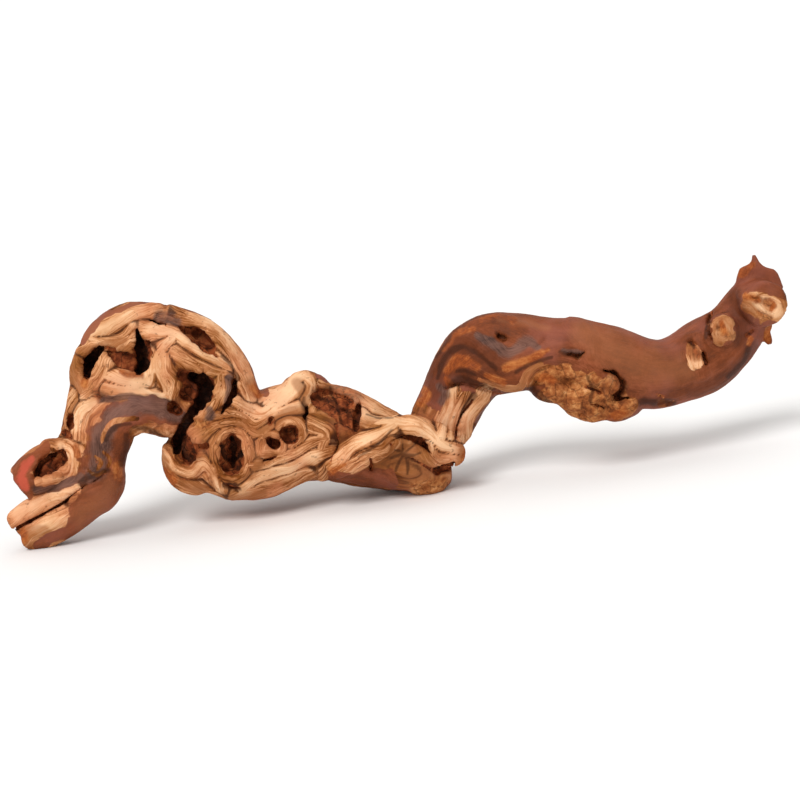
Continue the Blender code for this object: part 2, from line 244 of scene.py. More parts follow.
# Ridges of peeled wood, along their crests.
TRUNK_RIDGES = {
    "brow": ((82, 338, 7), (100, 331, 9), (120, 320, 9), (134, 312, 8), (150, 309, 7)),
    "brow_low": ((84, 347, 5), (93, 341, 5), (113, 344, 4.5), (127, 339, 5), (133, 330, 4)),
    "crown_right": (
        (180, 311, 5), (201, 320, 5), (220, 330, 5), (231, 344, 5), (241, 359, 5), (250, 374, 5),
        (257, 390, 5),
    ),
    "crown_inner": (
        (179, 318, 4), (199, 324, 4), (216, 334, 5), (227, 347, 5), (236, 361, 5), (244, 379, 5),
        (250, 396, 5),
    ),
    "fork_top": (
        (143, 329, 4), (160, 333, 6), (173, 333, 6), (186, 343, 6), (201, 353, 6), (216, 360, 5),
        (227, 367, 4),
    ),
    "fork_left": ((171, 340, 4), (160, 353, 5), (157, 367, 4.5), (166, 384, 4.5), (167, 396, 4)),
    "fork_middle": ((163, 356, 3), (164, 372, 4), (172, 382, 3), (169, 396, 3)),
    "well_brow": ((174, 351, 5), (191, 361, 5), (209, 370, 5), (223, 373, 4)),
    "well_side": ((221, 374, 4), (220, 390, 4.5), (213, 404, 4), (206, 414, 3)),
    "bowl_upper": (
        (110, 376, 5), (123, 381, 5), (140, 383, 5), (149, 379, 5), (151, 367, 4.5), (154, 354, 4),
    ),
    "bowl_lower": ((106, 387, 4), (120, 389, 4), (137, 390, 4), (151, 396, 4), (163, 396, 4)),
    "cheek": ((107, 360, 4), (103, 373, 5), (93, 387, 5), (85, 393, 4)),
    "cheek_outer": ((75, 363, 4), (77, 375, 4), (82, 390, 4)),
    "shin_strip": ((93, 403, 5), (83, 410, 5), (78, 423, 5), (77, 433, 4)),
    "shin_outer": ((75, 393, 4), (67, 407, 4), (62, 417, 3.5), (62, 430, 3.5)),
    "knob_rim": ((55, 445, 3.5), (70, 447, 3.5), (75, 458, 4), (71, 473, 4), (58, 480, 3.5), (42, 485, 3)),
    "prong_upper": ((90, 484, 3), (70, 492, 6), (50, 498, 6.5), (30, 508, 6), (15, 519, 5)),
    "prong_lower": ((62, 515, 4), (45, 525, 7), (30, 532, 7), (23, 538, 5)),
    "bowl_cream": (
        (166, 457, 5), (175, 468, 5), (188, 473, 5), (198, 468, 5), (204, 462, 4.5), (213, 473, 4.5),
        (220, 488, 4),
    ),
    "lobe_outer": ((163, 460, 4), (170, 475, 5), (185, 484, 5), (203, 491, 5), (218, 496, 4)),
    "cup_left": ((232, 430, 3), (222, 434, 3), (216, 446, 3), (216, 461, 3), (221, 474, 3), (232, 479, 3)),
    "cup_brow": (
        (203, 433, 4), (214, 426, 4), (228, 422, 3.5), (241, 423, 3.5), (251, 431, 4), (259, 434, 4),
        (270, 427, 3),
    ),
    "cup_brow_high": (
        (218, 416, 3), (235, 414, 3), (246, 419, 3.5), (255, 425, 3.5), (264, 420, 3.5), (275, 413, 3),
        (294, 408, 3),
    ),
    "belly_plate": ((237, 404, 6), (250, 411, 7), (262, 415, 7), (275, 407, 7), (287, 398, 7), (297, 388, 7)),
    "belly_plate_high": ((262, 397, 5), (277, 393, 5), (287, 385, 5)),
    "cup_right": ((232, 430, 3), (242, 434, 3), (248, 446, 3), (248, 461, 3), (243, 474, 3), (232, 479, 3)),
    "sweep_a": ((242, 490, 4), (257, 478, 5), (275, 472, 5), (294, 467, 5.5), (312, 455, 5.5), (327, 450, 5)),
    "sweep_b": ((252, 465, 3), (262, 464, 3), (281, 457, 4), (297, 451, 4), (312, 442, 4), (325, 439, 4)),
    "sweep_c": ((237, 495, 4), (256, 489, 4), (275, 484, 4), (291, 477, 4), (304, 471, 3)),
    "eye_ring_low": (
        (260, 450, 2.5), (262, 438, 2.5), (275, 434, 2), (283, 444, 2), (278, 454, 2.5),
        (266, 454, 2.5),
    ),
    "eye_ring_high": ((279, 428, 2.5), (288, 422, 2.5), (299, 427, 2.5), (301, 437, 2.5), (292, 445, 2.5)),
    "stump_plate": ((269, 403, 6), (283, 391, 7), (297, 379, 7), (304, 373, 5)),
    "stump_edge": ((306, 375, 5), (313, 386, 5), (309, 400, 4)),
    "stump_rim": ((321, 384, 3), (340, 390, 4), (360, 398, 4.5), (379, 409, 4), (393, 415, 3)),
    "band_upper": (
        (363, 414, 4), (369, 421, 5), (386, 421, 6), (400, 423, 6), (417, 426, 6), (431, 434, 6),
        (439, 443, 6), (451, 448, 6), (461, 450, 6),
    ),
    "band_lower": ((329, 470, 4), (340, 461, 6), (353, 448, 6), (369, 440, 6), (383, 432, 6), (394, 426, 5)),
    "band_edge": ((337, 473, 3), (351, 464, 3), (366, 455, 3), (383, 449, 3), (391, 442, 3)),
    "knot_right": ((430, 446, 4), (436, 457, 5), (449, 458, 5), (460, 459, 4)),
    "crack_plate": ((312, 428, 5), (325, 434, 6), (322, 446, 6)),
}
TRUNK_BARK = {
    "crown_rim": (
        (172, 304, 1.5), (200, 314, 2.2), (222, 327, 2.2), (240, 347, 2.2), (252, 368, 2.2),
        (260, 392, 2.5),
    ),
    "top": (
        (84, 343, 3), (90, 331, 5), (102, 317, 6), (124, 307, 5), (148, 303, 3), (176, 305, 4),
        (206, 314, 4.5),
    ),
    "crown_edge": ((222, 322, 4.5), (239, 338, 4.5), (252, 357, 5), (261, 379, 5), (265, 394, 4)),
    "leg": (
        (184, 420, 8), (170, 414, 10), (146, 410, 14), (118, 420, 16), (104, 443, 17), (98, 468, 16),
        (100, 490, 18), (85, 514, 15),
    ),
    "leg_back": ((122, 440, 10), (118, 462, 12), (112, 486, 10)),
    "heel": ((112, 495, 12), (95, 514, 13), (76, 523, 10)),
    "foot_band": ((82, 477, 4), (58, 487, 4), (37, 489, 4)),
    "foot_bottom": ((73, 531, 6), (52, 537, 5), (38, 545, 5)),
    "shin_edge": ((63, 403, 3), (60, 425, 4)),
    "knob_back": ((48, 448, 4), (30, 462, 8), (18, 468, 9), (24, 478, 9), (27, 492, 8)),
    "stump_low": ((333, 474, 5), (350, 478, 8), (368, 478, 10), (388, 478, 10)),
    "stump_back": ((318, 376, 3), (326, 382, 3)),
}
# Where the bark is torn off in thin lips and flecks.
TRUNK_PEELED = {
    "leg_lip": ((102, 441, 1.8), (105, 431, 2.2), (113, 422, 2.6), (125, 419, 2.6), (137, 419, 2)),
    "leg_flecks": ((95, 456, 1.4), (101, 462, 2.2), (98, 469, 1.8)),
    "leg_flecks_low": ((88, 470, 1.4), (96, 474, 1.7), (105, 471, 1.4)),
    "knee_fleck": ((103, 452, 1.4), (110, 459, 1.8), (108, 467, 1.4)),
    "shin_line": ((84, 432, 1.3), (80, 445, 1.5), (82, 456, 1.2)),
    "crown_fleck": ((112, 309, 2), (128, 305, 1.5)),
}
# Pale wood, and a painted highlight on the tops of ridges and limbs.
TRUNK_CREAM_AND_HIGHLIGHT = {
    "prong_low": ((38, 528, 4), (54, 520, 6), (68, 518, 4)),
    "heel_pale": ((110, 488, 9), (98, 503, 11), (80, 517, 9)),
    "bowl_cream": (
        (166, 457, 5), (175, 469, 5.5), (188, 473, 5), (198, 468, 5), (204, 463, 5), (213, 474, 5),
        (220, 488, 4),
    ),
    "band_upper": ((330, 384, 3), (363, 412, 6), (386, 421, 7), (417, 426, 7), (435, 440, 7), (452, 448, 6)),
    "band_lower": ((335, 462, 5), (353, 448, 6), (369, 440, 7), (392, 428, 6)),
    "sweep_a": ((242, 490, 6), (265, 475, 7), (290, 468, 7), (315, 455, 6)),
    "belly_plate": ((225, 395, 6), (245, 405, 9), (265, 408, 10), (285, 394, 10), (300, 382, 7)),
    "prong_upper": ((84, 487, 4), (60, 493, 7), (35, 503, 7), (18, 515, 5)),
    "brow": ((88, 336, 7), (108, 326, 9), (135, 313, 8)),
    "bowl": ((112, 379, 7), (135, 387, 7), (152, 388, 5), (160, 396, 4)),
    "fork": ((150, 330, 5), (165, 335, 9), (180, 338, 8), (205, 352, 7), (228, 366, 5)),
    "shin_strip": ((95, 400, 7), (83, 410, 8), (78, 428, 6)),
    "crown_right": ((190, 315, 4), (215, 326, 6), (235, 350, 7), (248, 375, 7), (256, 392, 6)),
    "knob_rim": ((60, 446, 3), (74, 455, 4), (73, 470, 4)),
}
TRUNK_RUST = {
    "lip": ((121, 372, 2), (130, 375, 3), (143, 376, 3)),
    "leg_patch": ((117, 466, 5), (118, 476, 5)),
    "leg_low": ((76, 446, 3), (80, 455, 3)),
    "toe_tip": ((26, 537, 5), (22, 532, 4)),
    "cheek": ((90, 376, 3), (86, 384, 4)),
    "band_foot": ((331, 471, 4), (345, 464, 2)),
    "lobe": ((166, 470, 4), (175, 480, 4)),
    "crown_end": ((252, 388, 6), (258, 396, 5)),
    "knot_end": ((465, 450, 4), (463, 462, 4)),
}
TRUNK_SLATE = {
    "leg_tube": (
        (184, 418, 7), (160, 408, 9), (140, 405, 10), (118, 413, 8), (103, 432, 10), (99, 455, 10),
        (95, 472, 9),
    ),
    "strip": ((105, 400, 4), (127, 397, 5), (148, 401, 5), (165, 403, 5)),
    "plate_top": ((158, 317, 5), (168, 318, 6), (177, 322, 5)),
    "foot_band": TRUNK_BARK["foot_band"],
    "triangle": ((210, 409, 3), (211, 416, 5)),
    "slit_wall": ((228, 378, 3), (228, 392, 3), (226, 402, 3)),
}
TRUNK_CORAL = {"knob": ((33, 458, 3), (25, 467, 4.5), (22, 477, 5.5), (26, 487, 4))}
# Dark crumbled wood, and painted shade under the strip and the cheek and in a hollow.
TRUNK_UMBER_AND_SHADE = {
    "strip_under": ((101, 394, 4), (110, 398, 4)),
    "stump": ((318, 392, 8), (335, 396, 13), (350, 408, 13), (350, 424, 10)),
    "belly_left": ((188, 442, 8), (191, 456, 9)),
    "cheek_low": ((96, 392, 4), (101, 399, 4)),
}
TRUNK_TAN = {
    "knot_floor": ((401, 467, 8), (412, 472, 10), (424, 472, 8)),
    "knot": ((402, 453, 15), (409, 460, 16)),
    "knot_left": ((372, 466, 6), (385, 466, 8)),
    "knot_low": ((414, 484, 8), (430, 483, 10), (442, 480, 7)),
    "prong_low": ((44, 530, 6), (30, 534, 7), (20, 534, 6)),
    "toe_tip": ((22, 542, 5), (38, 546, 4)),
    "lobe": ((170, 474, 5), (184, 480, 4.5), (203, 487, 4)),
    "lobe_edge": ((163, 454, 3), (170, 470, 3)),
    "beside_cup": ((252, 452, 4), (258, 463, 4), (249, 476, 4)),
    "belly_bottom": ((222, 494, 4), (240, 498, 5), (262, 492, 4)),
    "above_holes": ((262, 428, 4), (276, 420, 5), (296, 410, 5)),
    "stump_left": ((298, 384, 5), (304, 398, 5), (300, 414, 5)),
    "crown_end": ((250, 384, 6), (258, 394, 7)),
    "arch_wall": ((107, 346, 3), (124, 352, 5), (134, 358, 4)),
    "brow_low": ((86, 350, 3), (108, 343, 3), (126, 342, 3)),
    "beam_end": ((462, 446, 4), (462, 462, 5)),
    "shin": ((64, 400, 4), (61, 414, 4), (64, 436, 5)),
    "cheek": ((74, 362, 4), (75, 376, 4), (80, 390, 4)),
}
TRUNK_BURL = {
    "knot_low": ((416, 488, 7), (430, 486, 8), (442, 481, 6)),
    "belly_top": ((196, 423, 4), (208, 424, 5)),
}
# Dark strokes: shade in narrow places, stains and cracks too thin to carve.
TRUNK_SHADE = {
    "leg_inner": ((126, 436, 4), (126, 450, 5), (121, 464, 4)),
    "leg_low": ((82, 482, 3), (92, 474, 3), (108, 470, 2.5)),
    "leg_under_lip": ((106, 440, 2.2), (110, 432, 2.4), (118, 426, 2.4), (130, 424, 2)),
    "arch_under": ((134, 428, 3), (150, 430, 3), (164, 438, 3)),
    "knot_ray_left": ((404, 454, 1.9), (391, 458, 1.5)),
    "knot_ray_high_left": ((404, 454, 1.9), (394, 447, 1.5)),
    "knot_ray_high": ((404, 454, 1.9), (402, 443, 1.5)),
    "knot_ray_right": ((404, 454, 1.9), (412, 446, 1.7), (417, 441, 1.6)),
    "knot_ray_low_right": ((404, 454, 1.9), (412, 460, 1.6), (420, 463, 1.4)),
    "knot_ray_low": ((404, 454, 1.9), (398, 464, 1.6), (396, 471, 1.4)),
    "knot_ray_level": ((404, 454, 1.9), (413, 455, 1.6), (420, 453, 1.4)),
    "knot_ray_steep": ((404, 454, 1.9), (408, 465, 1.6), (407, 474, 1.4)),
    "band_line": ((366, 415, 1.3), (380, 419, 1.4), (394, 420, 1.2)),
    "band_low_line": ((358, 456, 1.3), (376, 445, 1.5), (392, 430, 1.3)),
    "stump_star": ((318, 396, 2), (334, 404, 2.2), (352, 414, 2)),
    "stump_star_side": ((328, 388, 2), (336, 404, 2.2), (341, 422, 2)),
    "stump_left": ((304, 398, 2), (303, 410, 3), (308, 420, 2)),
    "belly_left": ((182, 436, 4), (184, 450, 3), (192, 460, 3)),
    "cup_low": ((225, 484, 2.5), (232, 487, 3), (240, 488, 2)),
    "crown_band": ((222, 356, 1.5), (232, 368, 1.6), (238, 380, 2)),
}
# Hollows on the other sides: depth, centre, the way in, and a half width along the level and across it.
TRUNK_BACK_HOLLOWS = {
    "eye": (15, (-186, 38, 108), (0, -1, 0), (18, 8), 30),
    "eye_tail": (7, (-168, 38, 119), (0, -1, 0), (12, 3.5), 25),
    "cup": (12, (-96, 36, 58), (0, -1, 0), (14, 7), -72),
    "cup_slit": (6, (-82, 38, 40), (0, -1, 0), (15, 2.5), 8),
    "groove": (8, (-40, 34, 62), (0, -1, 0), (28, 3.5), 25),
    "pocket": (10, (-140, 34, 96), (0, -1, 0), (12, 5), -60),
    "heel_pit": (6, (-52, 38, 36), (0, -1, 0), (10, 3.5), 12),
    "roof": (6, (-168, 12, 160), (0, 0, -1), (15, 3), 0),
    "roof_slit": (5, (-196, 22, 150), (0, 0, -1), (14, 2.5), 12),
}

# The branch.
# The thinner stem that forks off the trunk's knotted end, bends over and rises to a sawn tip. Its
# red-brown bark is whole but for two peeled strips above the fork and a burl torn open below it. Two
# spurs and the tip were sawn off, and a torn flap of bark and a splinter are left at the tip.
BRANCH_LIMBS = {
    "spine": (
        (12, 8, 23, 17), (27, 14, 43, 23), (40, 16, 63, 24), (53, 14, 81, 27), (69, 10, 90, 29),
        (87, 4, 91, 28), (108, 0, 88, 26), (130, -2, 84, 26), (153, -4, 74, 27), (177, -2, 64, 25),
        (200, 4, 62, 24), (223, 10, 69, 26), (246, 12, 83, 21.5), (260, 10, 102, 18), (266, 8, 113, 15),
    ),
    "end_stub": ((263, 6, 106, 15.5), (267, -14, 105, 15)),
    "big_spur": ((236, 0, 88, 10), (232, -16, 91, 9)),
    "small_spur": ((218, 0, 74, 9), (214, -14, 76, 7)),
    "sliver": ((264, 2, 97, 4), (267, 0, 84, 3.6), (269, 0, 72, 2.8)),
}
BRANCH_LUMPS = {
    "burl_left": ((113, -8, 68), (21, 17, 16)),
    "burl_middle": ((135, -10, 57), (22, 20, 20)),
    "burl_right": ((156, -8, 53), (20, 19, 19)),
    "underside_knob": ((190, -2, 51), (15, 14, 12)),
}
# The torn flap of bark: the middles of its lower and upper edges as x and z, and its half thickness.
FLAP_LOWER = (
    (250, 114), (254, 112), (257, 110), (261, 109), (265, 108), (269, 107), (273, 106), (277, 107),
    (280, 108), (283, 110),
)
FLAP_UPPER = (
    (250, 118), (253, 126), (255, 130), (262, 132), (264, 139), (268, 133), (273, 128), (277, 127),
    (281, 122), (284, 111),
)
FLAP_HALF = 2.4
FLAP_MIDDLE = 4.0
FLAP_BEND = 0.012
FLAP_CENTRE = 266
FLAP_ROWS = 12
FLAP_PATH_STEPS = 3
BRANCH_HOLLOWS = {
    "pit": (5, ((499, 336, 2.5), (504, 338, 3.2))),
    "burl_notch": (6, ((568, 354, 2), (577, 357, 3.2), (584, 353, 2.6))),
    "crescent": (9, ((603, 370, 2.5), (613, 373, 4), (622, 382, 4.5), (620, 390, 4), (612, 394, 3.5))),
    "crescent_low": (9, ((614, 396, 3), (620, 400, 4.5), (627, 398, 3))),
    "burl_crack": (4, ((586, 387, 1.8), (600, 393, 2.4))),
    "burl_crack_low": (4, ((591, 403, 1.8), (603, 407, 2.4))),
    "elbow_crease": (2.2, (
        (444, 390, 1.4), (458, 384, 2.2), (472, 386, 2.8), (486, 390, 2.4), (500, 391, 1.6),
    )),
    "strip_crease": (5, ((472, 400, 1.6), (459, 419, 2), (455, 438, 2))),
    "knob_notch": (4, ((657, 394, 2), (663, 396, 2.6))),
    "knob_notch_low": (4, ((667, 404, 2), (673, 401, 2))),
    "small_spur_side": (9, ((703, 353, 3.2), (706, 363, 3.6))),
    "spur_notch": (4, ((690, 342, 2.2), (695, 345, 2))),
    "big_spur_side": (6, ((713, 314, 2.4), (709, 322, 3), (710, 332, 2.8), (714, 340, 2))),
    "end_eye": (1.2, ((750, 297, 2.4), (757, 298, 3))),
    "side_pocket": (3, ((747, 335, 3.6), (752, 331, 3))),
}
BRANCH_RIDGES = {
    "strip_left": ((453, 392, 6), (451, 406, 6.5), (445, 421, 6.5), (441, 435, 6)),
    "strip_middle": ((464, 393, 4), (459, 404, 4.5), (452, 420, 4), (450, 435, 3)),
    "strip_right": ((486, 390, 6), (472, 405, 6.5), (463, 420, 6.5), (461, 438, 6)),
    "lip": (
        (478, 377, 2.5), (491, 382, 2.5), (508, 385, 3), (520, 384, 3), (526, 374, 3), (533, 367, 3),
        (543, 364, 2.5), (556, 366, 2.5),
    ),
    "fold_pink": ((507, 366, 4), (530, 358, 4.5), (556, 350, 4)),
    "fold_long": ((463, 331, 5), (478, 336, 5), (492, 350, 5), (507, 361, 5), (528, 354, 4)),
    "swelling": ((577, 328, 6), (588, 342, 8), (590, 357, 7), (600, 368, 5)),
    "upper_fold": ((468, 322, 5), (486, 320, 6), (508, 327, 6), (530, 338, 5)),
    "burl_top": ((548, 372, 6), (562, 366, 7), (580, 371, 8), (594, 380, 6)),
    "burl_ball": ((557, 392, 8), (570, 400, 9), (584, 398, 8)),
    "burl_crumb": ((596, 380, 5), (606, 378, 6), (608, 388, 5)),
    "burl_tail": ((600, 412, 6), (612, 412, 6), (624, 406, 5)),
    "big_spur_ring": (
        (716, 322, 3), (723, 318, 3), (730, 326, 3), (729, 336, 3), (722, 341, 3), (715, 335, 3),
        (716, 324, 3),
    ),
    "small_spur_left": ((690, 348, 2.5), (690, 357, 3), (693, 366, 3)),
    "small_spur_right": ((697, 347, 2.5), (697, 357, 3), (699, 367, 3)),
    "end_swirl": (
        (752, 294, 3), (762, 291, 3), (774, 294, 3), (782, 301, 3), (782, 313, 3), (774, 320, 3),
        (762, 319, 3), (753, 311, 3),
    ),
}
BRANCH_BARE = {
    "strip_left": ((455, 391, 6), (451, 406, 8), (446, 421, 8), (443, 436, 8)),
    "strip_middle": ((467, 396, 6), (460, 406, 5), (452, 420, 5)),
    "strip_right": ((487, 389, 7), (473, 405, 8), (464, 420, 8), (461, 438, 8)),
    "lip": ((479, 378, 2), (500, 384, 2.6), (520, 384, 3), (527, 372, 3), (540, 364, 3)),
    "burl": ((535, 378, 9), (550, 374, 11), (566, 384, 19), (584, 394, 22), (604, 396, 22), (622, 402, 12)),
    "burl_back": ((545, 396, 8), (570, 408, 10), (600, 414, 8)),
    "small_spur": ((693, 350, 7), (696, 362, 8)),
    "big_spur": ((722, 326, 9.5), (723, 333, 9.5)),
    "end_face": ((754, 303, 10), (764, 306, 14), (775, 308, 12), (782, 311, 8)),
    "sliver": ((768, 328, 5), (770, 341, 5)),
    "knob": ((661, 403, 4), (668, 404, 4)),
}
# Pale bark and wood, and a painted highlight along the top of the branch.
BRANCH_CREAM_AND_HIGHLIGHT = {
    "shoulder": ((582, 332, 10), (604, 344, 15), (632, 360, 18), (660, 368, 16), (684, 372, 10)),
    "elbow_top": ((500, 320, 3), (526, 324, 4), (548, 328, 3)),
    "strip_left": BRANCH_RIDGES["strip_left"],
    "strip_right": BRANCH_RIDGES["strip_right"],
    "end_face": ((757, 303, 8), (766, 305, 11), (776, 312, 8)),
    "small_spur": ((692, 364, 5), (698, 365, 4)),
}
BRANCH_RUST = {
    "elbow": ((448, 371, 4.5), (456, 362, 6), (467, 362, 6), (478, 367, 4)),
    "elbow_side": ((446, 378, 3), (452, 384, 3)),
    "elbow_streak": ((444, 350, 3), (458, 334, 4), (474, 330, 3)),
    "elbow_low": ((486, 374, 3), (504, 380, 3)),
    "end_spot": ((748, 297, 3.5), (756, 299, 4)),
    "end_curl": ((768, 298, 1.6), (773, 303, 1.8), (770, 310, 1.6)),
    "spur_heart": ((721, 322, 2.5), (724, 330, 3)),
    "neck": ((424, 389, 4), (428, 396, 4), (421, 403, 4)),
    "sliver": BRANCH_BARE["sliver"],
    "side_pocket": ((750, 338, 2), (748, 344, 2)),
    "flap": ((742, 274, 4), (752, 264, 4)),
    "knob": ((660, 402, 4), (664, 404, 3)),
    "elbow_top": ((482, 322, 3), (500, 318, 4), (514, 322, 4)),
    "fold": ((506, 367, 4), (528, 360, 4), (548, 350, 3)),
    "burl_left": ((540, 376, 5), (552, 380, 5)),
    "burl_tail": ((606, 416, 4), (622, 410, 4)),
}
BRANCH_TAN = {
    "lip": BRANCH_BARE["lip"],
    "big_spur": ((722, 326, 9), (723, 334, 9)),
    "small_spur": ((694, 350, 4), (697, 357, 4)),
    "end_left": ((745, 302, 6), (752, 310, 5)),
    "knob": BRANCH_BARE["knob"],
}
# Crumbled wood: the burl, and rough spots on the sawn faces.
BRANCH_BURL = {
    "end_face": ((748, 297, 4), (758, 299, 4)),
    "end_heart": ((765, 300, 3), (772, 305, 3.5)),
    "end_low": ((757, 312, 3), (768, 317, 3)),
    "big_spur": ((718, 327, 3), (726, 334, 3)),
    "top": ((545, 372, 6), (562, 370, 9), (582, 374, 10), (600, 378, 9)),
    "low": ((548, 384, 7), (562, 394, 11), (584, 402, 13), (606, 406, 12), (624, 404, 8)),
    "middle": ((580, 388, 9), (606, 390, 10)),
    "back": BRANCH_BARE["burl_back"],
}
BRANCH_SHADE = {
    "elbow_under": ((452, 384, 4), (464, 379, 5), (478, 383, 4), (494, 388, 2.5)),
    "elbow_middle": ((457, 371, 2), (467, 370, 2.6), (476, 374, 2)),
    "elbow_arc": ((438, 378, 2.5), (445, 357, 3.5), (460, 347, 3.5), (478, 354, 3), (496, 368, 2.5)),
    "elbow_outer": ((436, 356, 4), (452, 332, 5), (468, 321, 3)),
    "pit": ((496, 333, 2), (504, 338, 2.5)),
    "fold": ((516, 371, 2), (530, 364, 2), (552, 357, 2)),
    "burl_left": ((531, 385, 4), (538, 393, 4), (550, 402, 4)),
    "burl_top": ((560, 352, 2.5), (574, 355, 3), (584, 353, 2)),
    "burl_right": ((606, 371, 2.5), (618, 376, 3), (624, 386, 4), (618, 396, 4)),
    "burl_between": ((588, 376, 2), (592, 388, 2.5), (590, 400, 2)),
    "strip_gap": ((474, 394, 3), (464, 408, 2.5), (458, 424, 2)),
    "spur_side": ((710, 317, 3), (709, 328, 3), (706, 338, 2.5)),
    "small_spur_top": ((690, 343, 2.5), (694, 347, 2)),
    "under_edge": ((748, 348, 3), (742, 362, 3), (728, 376, 3)),
    "knob": ((642, 402, 4), (674, 402, 4)),
}
BRANCH_SLATE = {
    "streak": ((478, 336, 3), (491, 343, 4.5), (506, 352, 5), (514, 350, 5), (528, 342, 5), (538, 347, 3)),
    "wing": ((562, 350, 2), (574, 352, 2.6), (583, 352, 2)),
    "elbow": ((440, 386, 4), (446, 393, 5), (442, 402, 4)),
}
# Dark bark and wood, and painted shade under the tip and beside the burl.
BRANCH_UMBER_AND_SHADE = {
    "elbow": (
        (434, 392, 9), (440, 366, 13), (454, 348, 15), (476, 352, 16), (500, 368, 11), (480, 372, 10),
        (455, 372, 12),
    ),
    "tip_under": ((752, 346, 5), (738, 366, 7), (716, 384, 7), (690, 393, 5)),
    "small_spur": ((695, 350, 2.4), (698, 356, 2.4)),
    "tip_neck": ((736, 296, 8), (742, 316, 8), (738, 340, 8)),
    "burl_shade": ((533, 392, 5), (548, 400, 4)),
    "burl_right": ((612, 378, 8), (620, 390, 8)),
    "knob": ((645, 400, 4), (672, 402, 4)),
}
BRANCH_BACK_HOLLOWS = {
    "pit": (8, (150, 24, 82), (0, -1, 0), (15, 5), 12),
    "scar": (4, (60, 40, 84), (0, -1, 0), (12, 5), -40),
    "spur_scar": (4, (212, 34, 66), (0, -1, 0), (8, 7), 0),
    "crack": (4, (104, 30, 92), (0, -1, 0), (22, 1.8), 2),
}


# The two pieces.
# One vine grew as a whole, so both pieces are cut from one skin at the fork, which is how they meet
# without a step. The skin is remeshed evenly, and the carving and the grain are raised on it.
SKIN_VOXEL = 1.26
FORK_POINT = np.array([31.0, 15.0, 53.0]) + LOG_SHIFT
FORK_WAY = np.array([0.48, 0.09, 0.87])
FORK_AXIS = FORK_WAY / np.linalg.norm(FORK_WAY)
FORK_REACH = 90.0
GRAIN_LIMBS = ("core", "upper_prong", "lower_prong", "knob", "spine")
HOLLOWS = {**TRUNK_HOLLOWS, **BRANCH_HOLLOWS}
BACK_HOLLOWS = {**TRUNK_BACK_HOLLOWS, **BRANCH_BACK_HOLLOWS}
RIDGES = {**TRUNK_RIDGES, **BRANCH_RIDGES}
# How softly each kind of mark fades at its edge, as a share of its half width.
SOFTNESS = {
    "bark": 0.35, "bare": 0.3, "cream_and_highlight": 0.9, "rust": 0.8, "slate": 0.8, "coral": 0.9, "umber_and_shade": 0.6,
    "tan": 0.8, "shade": 0.8, "burl": 0.5, "peeled": 0.4,
}


def both(trunk, branch):
    """The chains of one kind of mark, on the trunk and on the branch."""
    return {**trunk, **{"branch_" + name: rows for name, rows in branch.items()}}


MARKS = {
    "bark": TRUNK_BARK,
    "bare": BRANCH_BARE,
    "cream_and_highlight": both(TRUNK_CREAM_AND_HIGHLIGHT, BRANCH_CREAM_AND_HIGHLIGHT),
    "rust": both(TRUNK_RUST, BRANCH_RUST),
    "slate": both(TRUNK_SLATE, BRANCH_SLATE),
    "coral": TRUNK_CORAL,
    "burl": both(TRUNK_BURL, BRANCH_BURL),
    "peeled": TRUNK_PEELED,
    "tan": both(TRUNK_TAN, BRANCH_TAN),
    "shade": both(TRUNK_SHADE, BRANCH_SHADE),
    "umber_and_shade": both(TRUNK_UMBER_AND_SHADE, BRANCH_UMBER_AND_SHADE),
}
TINY = 1e-9
# A limb that runs along the depth by this much has its ways across taken from the vertical.
DEPTHWARD = 0.8
# A lump's rings stop this short of its poles, in radians.
POLE_GAP = 0.12
BALL_STEPS = 16


def smooth_path(rows, steps=PATH_STEPS):
    """A Catmull-Rom curve: between two rows it is the cubic whose slope at each is half the way
    between that row's neighbours."""
    rows = np.array(rows, float)
    ends = np.vstack([2 * rows[0] - rows[1], rows, 2 * rows[-1] - rows[-2]])
    t = np.arange(steps)[None, :, None] / steps
    before, start, end, after = (ends[i : len(ends) - 3 + i, None] for i in range(4))
    curve = 0.5 * (
        2 * start
        + (end - before) * t
        + (2 * before - 5 * start + 4 * end - after) * t**2
        + (3 * start - before - 3 * end + after) * t**3
    )
    return np.vstack([curve.reshape(-1, rows.shape[1]), rows[-1]])


def unit(vectors):
    """Each vector over its length."""
    return vectors / np.linalg.norm(vectors, axis=-1, keepdims=True)


def limb_frames(rows):
    """A limb's smooth path with its radius, the way ahead, and two ways across it at right angles."""
    path = smooth_path(np.array(rows, float) + np.append(LOG_SHIFT, 0))
    ahead = unit(np.gradient(path[:, :3], axis=0))
    sideways = abs(ahead[:, 1]).mean() < DEPTHWARD
    level = np.array([0.0, 1.0, 0.0]) if sideways else np.array([0.0, 0.0, 1.0])
    side = unit(np.cross(level, ahead))
    return path, ahead, side, np.cross(ahead, side)


def closed_grid(grid):
    """Faces of a grid of rings: each ring joins the next, and a pole closes each end."""
    rings, count, _ = grid.shape
    points = np.vstack([grid.reshape(-1, 3), grid[0].mean(0), grid[-1].mean(0)])
    index = np.arange(rings * count).reshape(rings, count)
    ahead = np.roll(index, -1, axis=1)
    sides = np.stack([index[:-1], ahead[:-1], ahead[1:], index[1:]], axis=-1).reshape(-1, 4)
    start, end = np.full(count, rings * count), np.full(count, rings * count + 1)
    first = np.stack([ahead[0], index[0], start, start], axis=-1)
    last = np.stack([index[-1], ahead[-1], end, end], axis=-1)
    quads = np.vstack([sides, first, last])
    return points, np.vstack([quads[:, :3], quads[: len(sides), [0, 2, 3]]])


def limb(rows):
    """A ring carried along a limb's path: its centre plus its radius times the cosine of the turn
    along one way across and the sine of it along the other."""
    path, _, side, top = limb_frames(rows)
    turn = np.linspace(0, 2 * np.pi, ROUND_STEPS, endpoint=False)[None, :, None]
    ring = np.cos(turn) * side[:, None] + np.sin(turn) * top[:, None]
    return closed_grid(path[:, None, :3] + path[:, None, 3:] * ring)


